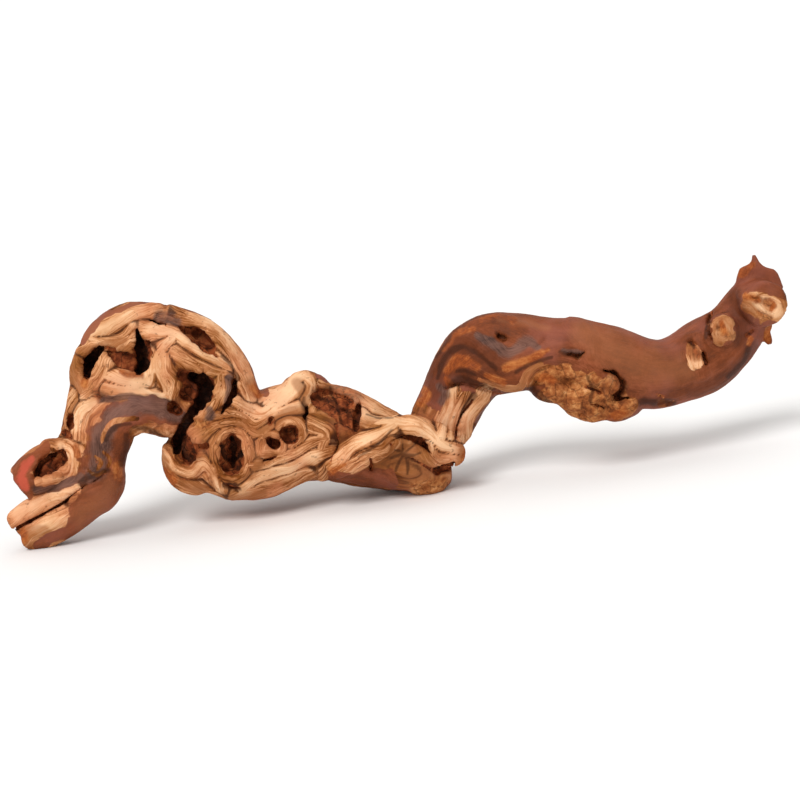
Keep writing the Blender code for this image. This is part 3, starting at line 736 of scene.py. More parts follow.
def lump(centre, radii):
    """An ellipsoid: each radius times the sine or cosine of the angle from its pole and round it."""
    down = np.linspace(POLE_GAP, np.pi - POLE_GAP, BALL_STEPS)[:, None]
    turn = np.linspace(0, 2 * np.pi, ROUND_STEPS, endpoint=False)[None, :]
    east, north = np.sin(down) * np.cos(turn), np.sin(down) * np.sin(turn)
    ball = np.stack([east, north, np.cos(down) + 0 * turn], axis=-1)
    return closed_grid(np.array(centre) + LOG_SHIFT + ball * radii)


def flap():
    """A bark sheet: rows run straight from its lower edge to its upper edge, it bows towards the back
    with the square of the distance from its middle, and its rings go down one face and up the other."""
    lower, upper = (smooth_path(rows, FLAP_PATH_STEPS) for rows in (FLAP_LOWER, FLAP_UPPER))
    rise = np.linspace(0, 1, FLAP_ROWS)[None, :, None]
    face = lower[:, None] * (1 - rise) + upper[:, None] * rise
    back = FLAP_MIDDLE + FLAP_BEND * (face[..., 0] - FLAP_CENTRE) ** 2
    near = np.stack([face[..., 0], back - FLAP_HALF, face[..., 1]], axis=-1)
    far = np.stack([face[..., 0], back + FLAP_HALF, face[..., 1]], axis=-1)
    return closed_grid(np.concatenate([near, far[:, ::-1]], axis=1) + LOG_SHIFT)


def fused(shells, voxel):
    """One closed skin round all the shells, from Blender's voxel remesher, as points and quads."""
    counts = np.cumsum([0] + [len(points) for points, _ in shells])
    points = np.vstack([points for points, _ in shells])
    faces = np.vstack([faces + start for (_, faces), start in zip(shells, counts)])
    rough = show("rough", mesh_from("rough", points, faces))
    remesh = rough.modifiers.new("fuse", "REMESH")
    remesh.mode = "VOXEL"
    remesh.voxel_size = voxel * MM
    bpy.context.view_layer.update()
    skin = rough.evaluated_get(bpy.context.evaluated_depsgraph_get()).to_mesh()
    points = np.empty(3 * len(skin.vertices), np.float32)
    skin.vertices.foreach_get("co", points)
    corners = np.empty(len(skin.loops), np.int32)
    skin.loops.foreach_get("vertex_index", corners)
    data = rough.data
    bpy.data.objects.remove(rough, do_unlink=True)
    bpy.data.meshes.remove(data)
    return points.reshape(-1, 3).astype(float) / MM, corners.reshape(-1, 4)


def normals(points, quads):
    """Outward directions at the points: the crossed diagonals of the faces round each, added up."""
    across = np.cross(points[quads[:, 2]] - points[quads[:, 0]], points[quads[:, 3]] - points[quads[:, 1]])
    total = np.zeros_like(points)
    for axis in range(3):
        for corner in range(4):
            total[:, axis] += np.bincount(quads[:, corner], across[:, axis], len(points))
    return unit(total + TINY)


def softened(values, quads, rounds):
    """Values at the points, each round replaced by the mean of its faces' corners."""
    shape = values.shape
    values = values.reshape(len(values), -1)
    share = np.bincount(quads.ravel(), minlength=len(values))[:, None]
    for _ in range(rounds):
        middle = values[quads].mean(1)
        total = np.zeros_like(values)
        for column in range(values.shape[1]):
            for corner in range(4):
                total[:, column] += np.bincount(quads[:, corner], middle[:, column], len(values))
        values = total / share
    return values.reshape(shape)


def step(low, high, values):
    """0 up to low, 1 from high, and 3tt - 2ttt between them."""
    t = np.clip((values - low) / (high - low), 0, 1)
    return t * t * (3 - 2 * t)


# The lattice's random numbers: a corner's whole numbers times a prime each, stirred twice.
LATTICE_PRIMES = np.array([73856093, 19349663, 83492791])
SEED_PRIME = 1013904223
SEED_SHIFT = 31.7
STIRS = ((13, 1274126177), (16, 668265263))
WORD = 0xFFFFFFFF


def noise(points, size, seed=0):
    """Smooth random values from -1 to 1: random numbers at a lattice's corners, size apart, blended
    by 3tt - 2ttt between them."""
    cells = points / size + SEED_SHIFT * (seed + 1)
    base = np.floor(cells).astype(np.int64)
    t = cells - base
    t = t * t * (3 - 2 * t)
    primes = LATTICE_PRIMES[: points.shape[1]]
    total = np.zeros(len(points))
    for corner in range(2 ** points.shape[1]):
        bits = np.array([corner >> axis & 1 for axis in range(points.shape[1])])
        key = (base + bits) @ primes + SEED_PRIME * (seed + 1)
        for shift, prime in STIRS:
            key = (key ^ (key >> shift)) * prime & WORD
        total += (key / (WORD // 2) - 1) * np.where(bits, t, 1 - t).prod(1)
    return total


def fractal(points, size, seed=0, octaves=3):
    """Noise plus half as much at half the size, and so on."""
    return sum(noise(points, size / 2**k, seed + 7 * k) / 2**k for k in range(octaves))


def wobble(places, noises):
    """Noises added up: a share of each, at its size and from its seed."""
    return sum(share * noise(places, size, seed) for share, size, seed in noises)


CHAIN_STEPS = 4
FAR_OFF = 99.0


def chain_distance(pixels, rows, reach):
    """How far pixels are from a chain's middle line, that over the half width there, and how far they
    are from the line run on straight past its ends. Past the reach all three are left large."""
    rows = smooth_path(rows, CHAIN_STEPS)
    far, over, beside = (np.full(len(pixels), FAR_OFF) for _ in range(3))
    low, high = rows[:, :2].min(0) - reach, rows[:, :2].max(0) + reach
    near = np.flatnonzero(((pixels > low) & (pixels < high)).all(1))
    spots = pixels[near]
    for place, (start, end) in enumerate(zip(rows, rows[1:])):
        run = end[:2] - start[:2]
        offset = spots - start[:2]
        t = offset @ run / (run @ run + TINY)
        past = ((t < 0) & (place == 0)) | ((t > 1) & (place == len(rows) - 2))
        t = np.clip(t, 0, 1)
        away = np.linalg.norm(offset - t[:, None] * run, axis=1)
        aside = abs(offset[:, 0] * run[1] - offset[:, 1] * run[0]) / np.linalg.norm(run)
        closer = away < far[near]
        far[near] = np.minimum(far[near], away)
        over[near] = np.minimum(over[near], away / (start[2] + t * (end[2] - start[2])))
        beside[near] = np.where(closer, np.where(past, aside, away), beside[near])
    return far, over, beside


HIDDEN_DEPTH = 30.0
CELL_PIXELS = 3


def seen(pixels, away):
    """Which points the camera sees, or nearly: those not far behind the nearest one in their cell."""
    cells = np.clip(pixels / CELL_PIXELS, 0, PHOTO_SIZE // CELL_PIXELS).astype(int)
    index = cells[:, 0] * PHOTO_SIZE + cells[:, 1]
    nearest = np.full(index.max() + 1, np.inf)
    np.minimum.at(nearest, index, away)
    return away < nearest[index] + HIDDEN_DEPTH


# How far out marks are worked out, in pixels, and the noises that make their edges uneven.
HOLLOW_REACH = 16
MARK_REACH = 24
RIM_WIDTH = 0.30
RIM_WOBBLE = ((0.12, 7.0, 3), (0.07, 3.0, 4))
MARK_WOBBLE = ((0.25, 9.0, 5), (0.15, 4.0, 6))


def hollow_depth(pixels):
    """How deep the marks cut at each pixel: each hollow's depth, reached within its rim's width of
    its edge, which noise makes uneven."""
    uneven = wobble(pixels, RIM_WOBBLE)
    depth = np.zeros(len(pixels))
    for deep, rows in HOLLOWS.values():
        over = chain_distance(pixels, rows, HOLLOW_REACH)[1] + uneven
        depth = np.maximum(depth, deep * (1 - step(1 - RIM_WIDTH, 1.0, over)))
    return depth


def marked(pixels, chains, soft):
    """1 on the marked chains, fading to 0 past their half width, which noise makes uneven."""
    uneven = wobble(pixels, MARK_WOBBLE)
    over = np.full(len(pixels), FAR_OFF)
    for rows in chains.values():
        over = np.minimum(over, chain_distance(pixels, rows, MARK_REACH)[1])
    return 1 - step(1 - soft, 1 + soft, over + uneven)


# How far a back hollow reaches along its way in, and where its rim starts, is highest and ends.
BACK_REACH = 24
BACK_WOBBLE = ((0.2, 6.0, 8),)
BACK_RIM = (0.9, 1.15, 1.7)


def back_hollow_depth(points):
    """How deep the hollows of the other sides cut, the way in there, and how high their rims stand."""
    depth, rim = np.zeros(len(points)), np.zeros(len(points))
    way = np.zeros_like(points)
    uneven = wobble(points, BACK_WOBBLE)
    start, top, end = BACK_RIM
    for deep, centre, inward, widths, lean in BACK_HOLLOWS.values():
        inward = np.array(inward, float)
        level = np.array([1.0, 0.0, 0.0])
        other = np.cross(inward, level)
        turn = math.radians(lean)
        offset = points - (np.array(centre) + LOG_SHIFT)
        along = offset @ (math.cos(turn) * level + math.sin(turn) * other) / widths[0]
        across = offset @ (math.cos(turn) * other - math.sin(turn) * level) / widths[1]
        over = np.hypot(along, across) + uneven
        near = abs(offset @ inward) < BACK_REACH
        cut = deep * (1 - step(1 - RIM_WIDTH, 1.0, over)) * near
        way[cut > depth] = inward
        depth = np.maximum(depth, cut)
        rim = np.maximum(rim, near * step(start, top, over) * (1 - step(top, end, over)))
    return depth, way, rim


# Limbs lie this far apart along the straight log, and points are compared a block at a time.
LIMBS_APART = 200
BLOCK = 20000


def straight_log(points, limbs):
    """Each point's place on the log as if it were straight: its offsets across the nearest limb and
    its way along it."""
    centres, aheads, sides, tops, radii, ways = [], [], [], [], [], []
    along = 0.0
    for rows in limbs:
        path, ahead, side, top = limb_frames(rows)
        lengths = np.linalg.norm(np.diff(path[:, :3], axis=0), axis=1)
        ways.append(along + np.append(0, np.cumsum(lengths)))
        along = ways[-1][-1] + LIMBS_APART
        centres.append(path[:, :3])
        radii.append(path[:, 3])
        aheads.append(ahead)
        sides.append(side)
        tops.append(top)
    lists = (centres, radii, aheads, sides, tops, ways)
    centres, radii, aheads, sides, tops, ways = map(np.concatenate, lists)
    nearest = np.empty(len(points), int)
    for start in range(0, len(points), BLOCK):
        block = points[start : start + BLOCK].astype(np.float32)
        squares = (block**2).sum(1)[:, None] - 2 * block @ centres.T.astype(np.float32) + (centres**2).sum(1)
        nearest[start : start + BLOCK] = (np.sqrt(np.maximum(squares, 0)) - radii).argmin(1)
    offset = points - centres[nearest]
    return np.column_stack([
        (offset * sides[nearest]).sum(1),
        (offset * tops[nearest]).sum(1),
        ways[nearest] + (offset * aheads[nearest]).sum(1),
    ])


def on_branch(points):
    """Which points are past the fork's plane, on the branch and not on the crown, which also rises there."""
    return ((points - FORK_POINT) @ FORK_AXIS > 0) & (points[:, 0] > FORK_POINT[0] - FORK_REACH)


def cut_skin(points, quads, side):
    """The part of a skin on one side of the fork: its faces whose middles lie there, the rim they end
    at moved onto the fork's plane, and a fan from the middle of the rim to close it."""
    kept = quads[on_branch(points[quads].mean(1)) == (side == "branch")]
    edges = np.stack([kept, np.roll(kept, -1, axis=1)], axis=-1).reshape(-1, 2)
    key = np.sort(edges, axis=1) @ (len(points), 1)
    _, first, count = np.unique(key, return_index=True, return_counts=True)
    rim = edges[first[count == 1]]
    points = points.copy()
    on_rim = np.unique(rim)
    points[on_rim] -= ((points[on_rim] - FORK_POINT) @ FORK_AXIS)[:, None] * FORK_AXIS
    fan = np.column_stack([rim[:, ::-1], np.full(len(rim), len(points))])
    return np.vstack([points, points[on_rim].mean(0)]), kept, fan, on_rim


# Hollows fade out where the skin turns edge on, and their floors are lumpy.
ROUGH_ROUNDS = 3
GRAZING = 0.3
FLOOR_SHARE = 0.25
FLOOR_SIZE = 7.0


def carved(shells):
    """The shells as one skin with its hollows pushed in, along the view on the face and along each
    hollow's own way in elsewhere. It is meshed anew after that, so their walls are as fine as the rest."""
    points, quads = fused(shells, ROUGH_VOXEL)
    points = softened(points, quads, ROUGH_ROUNDS)
    outward = normals(points, quads)
    pixels, away = in_photo(points)
    sight = unit(points - EYE)
    facing = -(outward * sight).sum(1)
    depth = hollow_depth(pixels) * (1 + FLOOR_SHARE * fractal(points, FLOOR_SIZE, 2, 2))
    depth *= seen(pixels, away) * step(0.0, GRAZING, facing)
    back, way, _ = back_hollow_depth(points)
    back = back * step(0.0, GRAZING, -(outward * way).sum(1))
    points = points + depth[:, None] * sight + back[:, None] * way
    return fused([(points, np.vstack([quads[:, :3], quads[:, [0, 2, 3]]]))], SKIN_VOXEL)


# Ridges in pixels: how far off one is where there is none, its usual half width and its limits.
CREST_FAR = 40.0
USUAL_RIDGE = 5.0
RIDGE_LIMITS = (2, 9)
THIN = 0.01


def crests(pixels):
    """How far each pixel is from the nearest ridge's crest and from the next nearest one, how far it
    is from the nearest crest run on past its ends, and the nearest ridge's half width."""
    nearest, second, beside = (np.full(len(pixels), CREST_FAR) for _ in range(3))
    width = np.full(len(pixels), USUAL_RIDGE)
    for rows in RIDGES.values():
        far, over, aside = chain_distance(pixels, rows, MARK_REACH)
        closer = far < nearest
        second = np.where(closer, nearest, np.minimum(second, far))
        width = np.where(closer, np.clip(far / np.maximum(over, THIN), *RIDGE_LIMITS), width)
        beside = np.where(closer, aside, beside)
        nearest = np.minimum(nearest, far)
    return nearest, second, beside, width


# Where the bark is left behind the face: a burl without it, and patches with it, in millimetres.
BURL_CENTRE = (137, -4, 52)
BURL_RADII = (34, 24, 16)
BURL_EDGE = (0.95, 1.1)
PATCH_STRETCH = (2.0, 1.0, 1.0)
PATCH_SIZE = 30.0
PATCH_SEED = 21
PATCH_EDGE = (-0.05, 0.2)
BRANCH_START = (30, 100)
LEG_END = (-215, -190)
LEG_BARK = 0.45
BARE_ABOVE = 60
BARK_PER_DROP = 0.004
TRUNK_END = 40


def burl_share(points):
    """1 in an ellipsoid about the burl and 0 outside it, with an uneven edge."""
    edge = 0.2 * fractal(points / PATCH_STRETCH, PATCH_SIZE, PATCH_SEED)
    over = np.linalg.norm((points - BURL_CENTRE) / BURL_RADII, axis=1)
    return 1 - step(*BURL_EDGE, over + edge)


def bark_behind(points):
    """Behind the face the bark is whole on the branch, but for the burl's underside and a few worn
    patches, and is left on the trunk in patches, more of it on the leg and below."""
    patches = fractal(points / PATCH_STRETCH, PATCH_SIZE, PATCH_SEED)
    bias = step(*BRANCH_START, points[:, 0]) + LEG_BARK * (1 - step(*LEG_END, points[:, 0]))
    bias += BARK_PER_DROP * (BARE_ABOVE - points[:, 2]) * (points[:, 0] < TRUNK_END)
    return step(*PATCH_EDGE, patches + bias) * (1 - burl_share(points))


# The relief, in millimetres. A noise is its share, its size and its seed, and a size of three numbers
# is one for each way across the limb and one along it.
PHOTO_MM = 0.72
RIDGE_RISE = 0.36
WIDEST_RIDGE = 12.0
FACE_TURN = (-0.1, 0.35)
RIDGE_FADE = (11.0, 17.0)
FIBRES = ((1.0, (11.0, 11.0, 90.0), 11), (0.45, (5.0, 5.0, 45.0), 12))
FISSURE = (0.02, 0.14)
FISSURE_SHARE = 0.6
GROOVE_EDGE = (0.76, 1.0)
GROOVE_SPAN = (22, 28)
GROOVE_START = (2.5, 4.0)
CREST_GAIN = 1.4
WALL_DEPTH = (0.3, 2.0)
RIDGE_LOST_UNDER_BARK = 0.4
FIBRE_LOST_UNDER_BARK = 0.65
FIBRE_RISE = 2.6
FIBRE_TOP = 0.8
FIBRE_SINK = 1.2
RIM_RISE = 1.3
BARK_RISE = 0.5
BARK_RIBS = (0.22, (2.5, 2.5, 16.0), 17)
SWELLS = ((0.8, 22.0, 14), (0.22, 5.0, 15))
CRUMB_RISE = 1.3
CRUMB_SIZE = 5.0
CRUMB_SEED = 16
BURL_LUMPS = ((2.2, 9.0, 31), (1.0, 4.0, 32))
BURL_SINK = 1.5


def relief(points, quads):
    """The skin with ridges, bark and grain raised on it, each point's marks, and its place on the
    log as if the log were straight."""
    outward = normals(points, quads)
    pixels, away = in_photo(points)
    facing = -(outward * unit(points - EYE)).sum(1)
    visible = seen(pixels, away)
    front = visible * step(*FACE_TURN, softened(facing, quads, 4))
    limbs = (TRUNK_LIMBS | BRANCH_LIMBS).items()
    straight = straight_log(points, [rows for name, rows in limbs if name in GRAIN_LIMBS])
    past_fork = on_branch(points)

    deep = hollow_depth(pixels) * visible
    back, _, rim = back_hollow_depth(points)
    deep = np.maximum(deep, back)
    nearest, second, beside, width = crests(pixels)
    half = np.clip((nearest + second) / 2, width, WIDEST_RIDGE)
    over = np.minimum(beside / half, 1)
    cover = front * (1 - step(*RIDGE_FADE, nearest))
    fluting = sum(share * noise(straight / size, 1.0, seed) for share, size, seed in FIBRES)
    fissure = 1 - step(*FISSURE, abs(fluting))

    marks = {"deep": deep, "front": cover, "contour": beside * PHOTO_MM}
    # The crest mark is what the material lightens: worn crests, with a painted highlight on them.
    marks["crest"] = cover * (1 - over**4) + (1 - cover) * np.minimum(CREST_GAIN * abs(fluting), 1)
    groove = step(*GROOVE_EDGE, nearest / half) * (1 - step(*GROOVE_SPAN, nearest + second))
    groove = groove * step(*GROOVE_START, nearest)
    marks["groove"] = np.maximum(cover * groove, FISSURE_SHARE * (1 - cover) * fissure)
    for name, chains in MARKS.items():
        marks[name] = marked(pixels, chains, SOFTNESS[name]) * front
    peeled = marks.pop("peeled")
    marks["slate"] *= 1 - peeled
    barked = np.where(past_fork, 1 - marks.pop("bare"), marks["bark"] * (1 - peeled))
    bark = front * barked + (1 - front) * bark_behind(points)
    marks["bark"] = bark
    marks["burl"] = np.maximum(marks["burl"], (1 - front) * burl_share(points))

    face = 1 - step(*WALL_DEPTH, deep)
    height = face * (1 - RIDGE_LOST_UNDER_BARK * bark) * cover * RIDGE_RISE * PHOTO_MM * half * (1 - over**3)
    fibres = FIBRE_RISE * np.sqrt(np.minimum(abs(fluting), FIBRE_TOP)) - FIBRE_SINK
    height += face * (1 - FIBRE_LOST_UNDER_BARK * bark) * (1 - cover) * fibres
    height += RIM_RISE * rim * (1 - front)
    share, size, seed = BARK_RIBS
    height += BARK_RISE * bark * face + share * bark * noise(straight / size, 1.0, seed)
    height += sum(share * fractal(points, size, seed, 2) for share, size, seed in SWELLS)
    height += (1 - face) * CRUMB_RISE * fractal(points, CRUMB_SIZE, CRUMB_SEED, 3)
    lumps = sum(share * np.sqrt(abs(noise(points, size, seed))) for share, size, seed in BURL_LUMPS)
    height += marks["burl"] * face * (lumps - BURL_SINK)
    height = softened(height, quads, 1)
    points = points + height[:, None] * outward
    points[:, 2] = np.maximum(points[:, 2], 0)
    return points, marks, straight


def vine_piece(name, skin, marks, straight, side):
    """A smooth-shaded object of the skin on one side of the fork, with its marks as attributes."""
    points, quads, fan, rim = cut_skin(*skin, side)
    used = np.unique(np.append(quads, fan))
    place = np.zeros(len(points), int)
    place[used] = np.arange(len(used))
    obj = show(name, mesh_from(name, points[used], place[quads], place[fan]))
    data = obj.data
    data.polygons.foreach_set("use_smooth", np.ones(len(data.polygons), bool))
    ends = np.empty(2 * len(data.edges), np.int32)
    data.edges.foreach_get("vertices", ends)
    on_rim = np.zeros(len(used), bool)
    on_rim[place[rim]] = True
    sharp = data.attributes.new("sharp_edge", "BOOLEAN", "EDGE")
    sharp.data.foreach_set("value", on_rim[ends.reshape(-1, 2)].all(1))
    kept = used[used < len(straight)]
    for mark, values in marks.items():
        attribute = data.attributes.new(mark, "FLOAT", "POINT")
        attribute.data.foreach_set("value", np.append(values[kept], 0).astype(np.float32))
    attribute = data.attributes.new("straight", "FLOAT_VECTOR", "POINT")
    attribute.data.foreach_set("vector", np.vstack([straight[kept], [0, 0, 0]]).astype(np.float32).ravel())
    return obj


def paint(code):
    """A colour code's red, green and blue as the linear values that a shader takes."""
    parts = np.array([int(code[i : i + 2], 16) for i in (0, 2, 4)]) / 255
    linear = np.where(parts <= 0.04045, parts / 12.92, ((parts + 0.055) / 1.055) ** 2.4)
    return (*linear.tolist(), 1.0)


class Field:
    """A value in a material. Python's operators on it add Math nodes, and add makes any other node."""

    def __init__(self, tree, socket=None):
        self.tree = tree
        self.socket = socket

    def add(self, kind, settings=None, sockets=None, output=0):
        """A node of that kind: its settings are set first, then its sockets' values or links."""
        node = self.tree.nodes.new("ShaderNode" + kind)
        settings = dict(settings or {})
        stops = settings.pop("stops", ())
        for name, value in settings.items():
            setattr(node, name, value)
        for place, (at, code) in enumerate(stops):
            stop = node.color_ramp.elements[place] if place < 2 else node.color_ramp.elements.new(at)
            stop.position = at
            stop.color = paint(code)
        for name, value in (sockets or {}).items():
            if isinstance(value, Field):
                self.tree.links.new(value.socket, node.inputs[name])
            else:
                node.inputs[name].default_value = value
        return Field(self.tree, node.outputs[output])

    def math(self, operation, *values):
        return self.add("Math", {"operation": operation}, dict(enumerate(values)))

    def __add__(self, other):
        return self.math("ADD", self, other)

    def __sub__(self, other):
        return self.math("SUBTRACT", self, other)

    def __mul__(self, other):
        return self.math("MULTIPLY", self, other)

    __radd__ = __add__
    __rmul__ = __mul__

    def __rsub__(self, other):
        return self.math("SUBTRACT", other, self)

    def over(self, low, high):
        """0 up to low, 1 from high, smooth between."""
        ends = {0: self, 1: low, 2: high, 3: 0.0, 4: 1.0}
        return self.add("MapRange", {"interpolation_type": "SMOOTHSTEP"}, ends)

    def mark(self, name, output=2):
        """The attribute of that name: output 2 is a number, and output 1 a vector."""
        return self.add("Attribute", {"attribute_name": name}, output=output)

    def ramp(self, stops):
        """The stops' colours, blended between them as this goes from 0 to 1."""
        return self.add("ValToRGB", {"stops": stops}, {0: self})

    def tint(self, below, above):
        """The colour below where this is 0, and where it is 1 the colour above, a field or a code."""
        above = paint(above) if isinstance(above, str) else above
        return self.add("Mix", {"data_type": "RGBA"}, {0: self, 6: below, 7: above}, output=2)

    def scaled(self, x, y, z):
        return self.add("VectorMath", {"operation": "MULTIPLY"}, {0: self, 1: (x, y, z)})

    def noise(self, scale, detail=3.0, rough=0.55):
        sockets = {"Vector": self, "Scale": scale, "Detail": detail, "Roughness": rough}
        return self.add("TexNoise", {}, sockets)


# Colours from dark to light, each with its place on the ramp, and the washes laid over them.
WOOD = ((0.0, "522404"), (0.2, "834718"), (0.45, "AE6F43"), (0.7, "D6996B"), (1.0, "F0C095"))
CRUMBS = ((0.0, "381404"), (0.4, "733417"), (0.7, "A0532B"), (1.0, "CB8B54"))
CRUMBLED = ((0.0, "5C2B10"), (0.35, "98552A"), (0.7, "C07E48"), (1.0, "E6AC78"))
BARK = ((0.0, "46200C"), (0.5, "74391B"), (1.0, "985233"))
SLATE = ((0.0, "35241F"), (1.0, "79574B"))
RUST = ((0.0, "6A2E10"), (0.5, "9E4E1E"), (1.0, "C87C40"))
PINK_WOOD, OCHRE_WOOD, TAN_WOOD = "D08059", "A9713A", "945A31"
PORES, GROOVES, CRUMB_CRACKS, BURL_CRACKS = "5A2D12", "3A1807", "1C0A01", "3A1808"
# The pale bark is partly a painted highlight, and the dark bark partly painted shade.
ORANGE_BARK, PLUM_BARK, PALE_BARK_AND_HIGHLIGHT, DARK_BARK_AND_SHADE = "8E451D", "915140", "A2633F", "481F0C"
# Coral is the knob's own colour; the shade brown and the pit colour are painted shade.
CORAL, SHADE_BROWN, PAINTED_PIT_SHADE = "B84E38", "2C1103", "100603"
# The layers' edges are where the sine of half a turn times the layers passed is near 0.
HALF_TURN = 3.1416
CRACK_BEND = (0.016, 0.016, 0.016)
SHEEN = 0.15
BUMP = {"Strength": 0.8, "Distance": 0.0012}


def vine_skin(name):
    """Weathered vine: grain lines on peeled wood, bark over it where it is marked, and dark hollows, with
    painted shade deep in them.
    """
    material = bpy.data.materials.new(name)
    material.use_nodes = True
    tree = material.node_tree
    shader = tree.nodes["Principled BSDF"]
    start = Field(tree)
    place = start.add("TexCoord", output=3)
    straight = start.mark("straight", 1)
    contour, front = start.mark("contour"), start.mark("front")
    deep, groove = start.mark("deep"), start.mark("groove")

    blur = place.noise(70.0, 3.0)
    broad = place.noise(26.0, 3.0, 0.5)
    speck = place.noise(420.0, 3.0, 0.6)
    dots = speck - 0.5
    flow = start.add("CombineXYZ", {}, {0: 0.38 * contour + blur})
    flow = flow.add("VectorMath", {"operation": "ADD"}, {0: flow, 1: place.scaled(34.0, 34.0, 34.0)})
    grain = front * flow.noise(1.0, 3.0, 0.6)
    grain = grain + (1 - front) * straight.scaled(0.36, 0.36, 0.018).noise(1.0, 3.0, 0.6)
    fine = front * flow.scaled(4.0, 4.0, 4.0).noise(1.0, 2.0)
    fine = fine + (1 - front) * straight.scaled(1.7, 1.7, 0.07).noise(1.0, 2.0)
    layer = HALF_TURN * (0.40 * contour + 2.2 * blur + 1.2 * broad)
    layer = start.math("ABSOLUTE", start.math("SINE", layer))
    cream_and_highlight, tan, umber_and_shade = start.mark("cream_and_highlight"), start.mark("tan"), start.mark("umber_and_shade")
    edge = front * (1 - layer.over(0.0, 0.36)) * place.noise(38.0, 2.0).over(0.38, 0.66)
    edge = edge * (1 - 0.7 * cream_and_highlight) * (1 - tan)

    # Bare wood: worn crests lit by a painted highlight, paler bands, darker layer edges, and dark cracks with
    # painted shade in grooves.
    tone = 0.62 * grain + 0.06 + 0.20 * (fine - 0.5) + 0.10 * dots + 0.50 * (broad - 0.52)
    tone = tone - 0.25 * (1 - front) * (grain - 0.5) + 0.18 * start.mark("crest") + 0.15 * cream_and_highlight - 0.17 * edge
    wood = tone.over(0.26, 0.80).ramp(WOOD)
    shade = (groove * (0.35 + 1.2 * blur + 0.5 * dots)).over(0.05, 0.95)
    wood = (0.42 * place.noise(21.0, 3.0).over(0.46, 0.64)).tint(wood, PINK_WOOD)
    wood = (0.30 * place.noise(33.0, 3.0).over(0.50, 0.68)).tint(wood, OCHRE_WOOD)
    wood = (0.45 * place.noise(300.0, 2.0, 0.5).over(0.64, 0.72)).tint(wood, PORES)
    wood = (0.62 * (tan + 0.5 * (blur - 0.5)).over(0.1, 0.9)).tint(wood, TAN_WOOD)
    wood = (0.85 * shade).tint(wood, GROOVES)

    # Crumbled wood, split by bent cracks: dark in the hollows, and lighter on the burl.
    bent = place.add("TexNoise", {}, {"Vector": place, "Scale": 80.0, "Detail": 3.0}, output=1)
    bent = place.add("VectorMath", {"operation": "MULTIPLY_ADD"}, {0: bent, 1: CRACK_BEND, 2: place})
    sockets = {"Vector": bent, "Scale": 95.0, "Randomness": 1.0}
    cells = place.add("TexVoronoi", {"feature": "DISTANCE_TO_EDGE"}, sockets)
    crumbs = (place.noise(120.0, 4.0, 0.65) + 0.3 * dots).over(0.15, 0.85).ramp(CRUMBS)
    crumbs = (0.75 * (1 - (cells + 0.12 * dots).over(0.0, 0.07))).tint(crumbs, CRUMB_CRACKS)
    # Dark crumbs where the umber marks lie: crumbled wood, and painted shade.
    wood = (0.75 * umber_and_shade).tint(wood, crumbs)
    crumbled = (0.55 * place.noise(150.0, 4.0, 0.6) + 0.25 * speck + 0.2 * broad).over(0.3, 0.72)
    crumbled = crumbled.ramp(CRUMBLED)
    crumbled = (0.6 * (1 - (cells + 0.10 * dots).over(0.0, 0.06))).tint(crumbled, BURL_CRACKS)
    wood = (0.9 * start.mark("burl")).tint(wood, crumbled)

    # Bark, streaked along the log.
    streak = straight.scaled(0.15, 0.15, 0.012).noise(1.0, 4.0, 0.6)
    patch = 0.55 * place.noise(38.0, 4.0, 0.6) + 0.45 * streak
    bark = (patch + 0.22 * (fine - 0.5) + 0.20 * dots).over(0.22, 0.78).ramp(BARK)
    bark = (0.45 * place.noise(24.0, 3.0).over(0.46, 0.66)).tint(bark, ORANGE_BARK)
    bark = (0.60 * place.noise(17.0, 3.0).over(0.46, 0.62)).tint(bark, PLUM_BARK)
    # Paler under the cream marks, partly a painted highlight, and darker under the umber ones, partly painted
    # shade.
    bark = (0.45 * cream_and_highlight).tint(bark, PALE_BARK_AND_HIGHLIGHT)
    bark = (0.50 * umber_and_shade).tint(bark, DARK_BARK_AND_SHADE)

    # Bark over the wood, then the stains and painted shade strokes, and last painted shade in the deep
    # hollows.
    slate = (patch + 0.5 * (fine - 0.5)).over(0.3, 0.7).ramp(SLATE)
    rust = (patch + 0.25 * (fine - 0.5) + 0.3 * dots).over(0.28, 0.72).ramp(RUST)
    ragged = 0.9 * (place.noise(140.0, 4.0, 0.6) - 0.5) + 0.5 * (fine - 0.5)
    barked = (start.mark("bark") + ragged).over(0.40, 0.60)
    colour = barked.tint(wood, bark)
    colour = (0.8 * (start.mark("slate") + 0.7 * ragged).over(0.12, 0.9)).tint(colour, slate)
    colour = (0.85 * (start.mark("rust") + 0.6 * ragged).over(0.15, 0.95)).tint(colour, rust)
    colour = (0.9 * (start.mark("coral") + ragged).over(0.25, 0.95)).tint(colour, CORAL)
    colour = (deep + 2.0 * dots).over(0.6, 3.5).tint(colour, crumbs)
    shaded = (start.mark("shade") + 0.7 * ragged + 0.9 * (streak - 0.5)).over(0.2, 1.05)
    colour = (0.68 * shaded).tint(colour, SHADE_BROWN)
    # Painted shade, near black, deep in the hollows.
    pit_shade = (deep + 9.0 * (place.noise(110.0, 3.0) - 0.5)).over(9.0, 19.0)
    colour = (0.86 * pit_shade).tint(colour, PAINTED_PIT_SHADE)

    shader.inputs["Specular IOR Level"].default_value = SHEEN
    height = (0.6 * grain - 0.35 * edge) * (1 - barked) + 0.35 * fine + 0.25 * speck + 0.3 * barked * patch
    bump = start.add("Bump", {}, {**BUMP, "Height": height})
    rough = 0.80 - 0.24 * barked + 0.15 * dots
    tree.links.new(colour.socket, shader.inputs["Base Color"])
    tree.links.new(rough.socket, shader.inputs["Roughness"])
    tree.links.new(bump.socket, shader.inputs["Normal"])
    return material


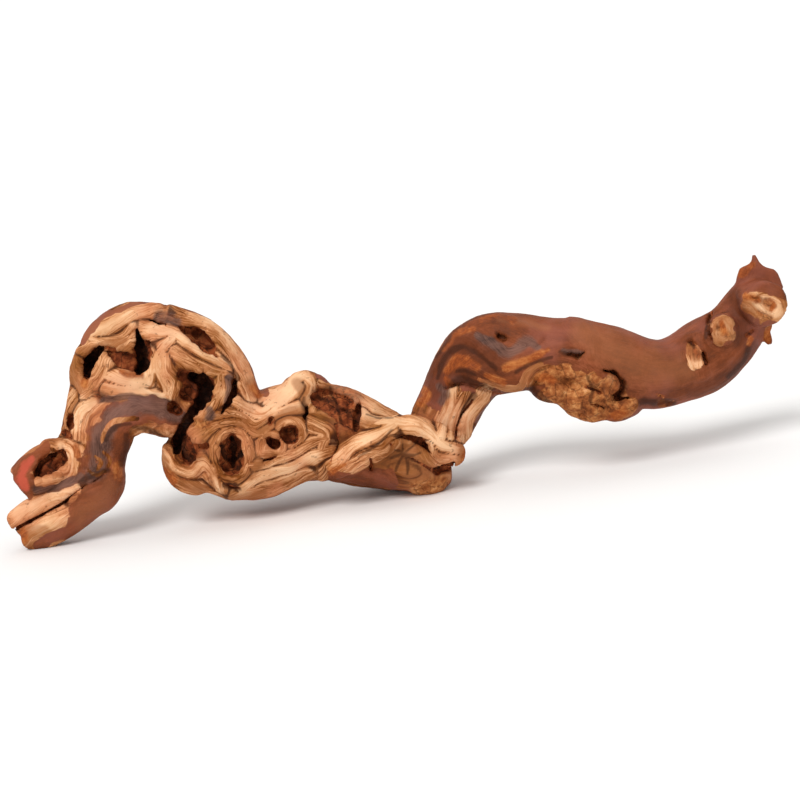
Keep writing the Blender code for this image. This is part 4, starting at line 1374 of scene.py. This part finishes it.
shells = [limb(rows) for rows in (*TRUNK_LIMBS.values(), *BRANCH_LIMBS.values())]
shells += [lump(*shape) for shape in (*TRUNK_LUMPS.values(), *BRANCH_LUMPS.values())] + [flap()]
skin_points, skin_quads = carved(shells)
skin_points, skin_marks, skin_straight = relief(skin_points, skin_quads)
for piece, node, slot in (("vine_trunk", "trunk", "peeled_wood"), ("vine_branch", "branch", "red_bark")):
    part = vine_piece(piece, (skin_points, skin_quads), skin_marks, skin_straight, node)
    part.data.materials.append(vine_skin(slot + "_grain"))
    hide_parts(node)
    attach(part, "root")
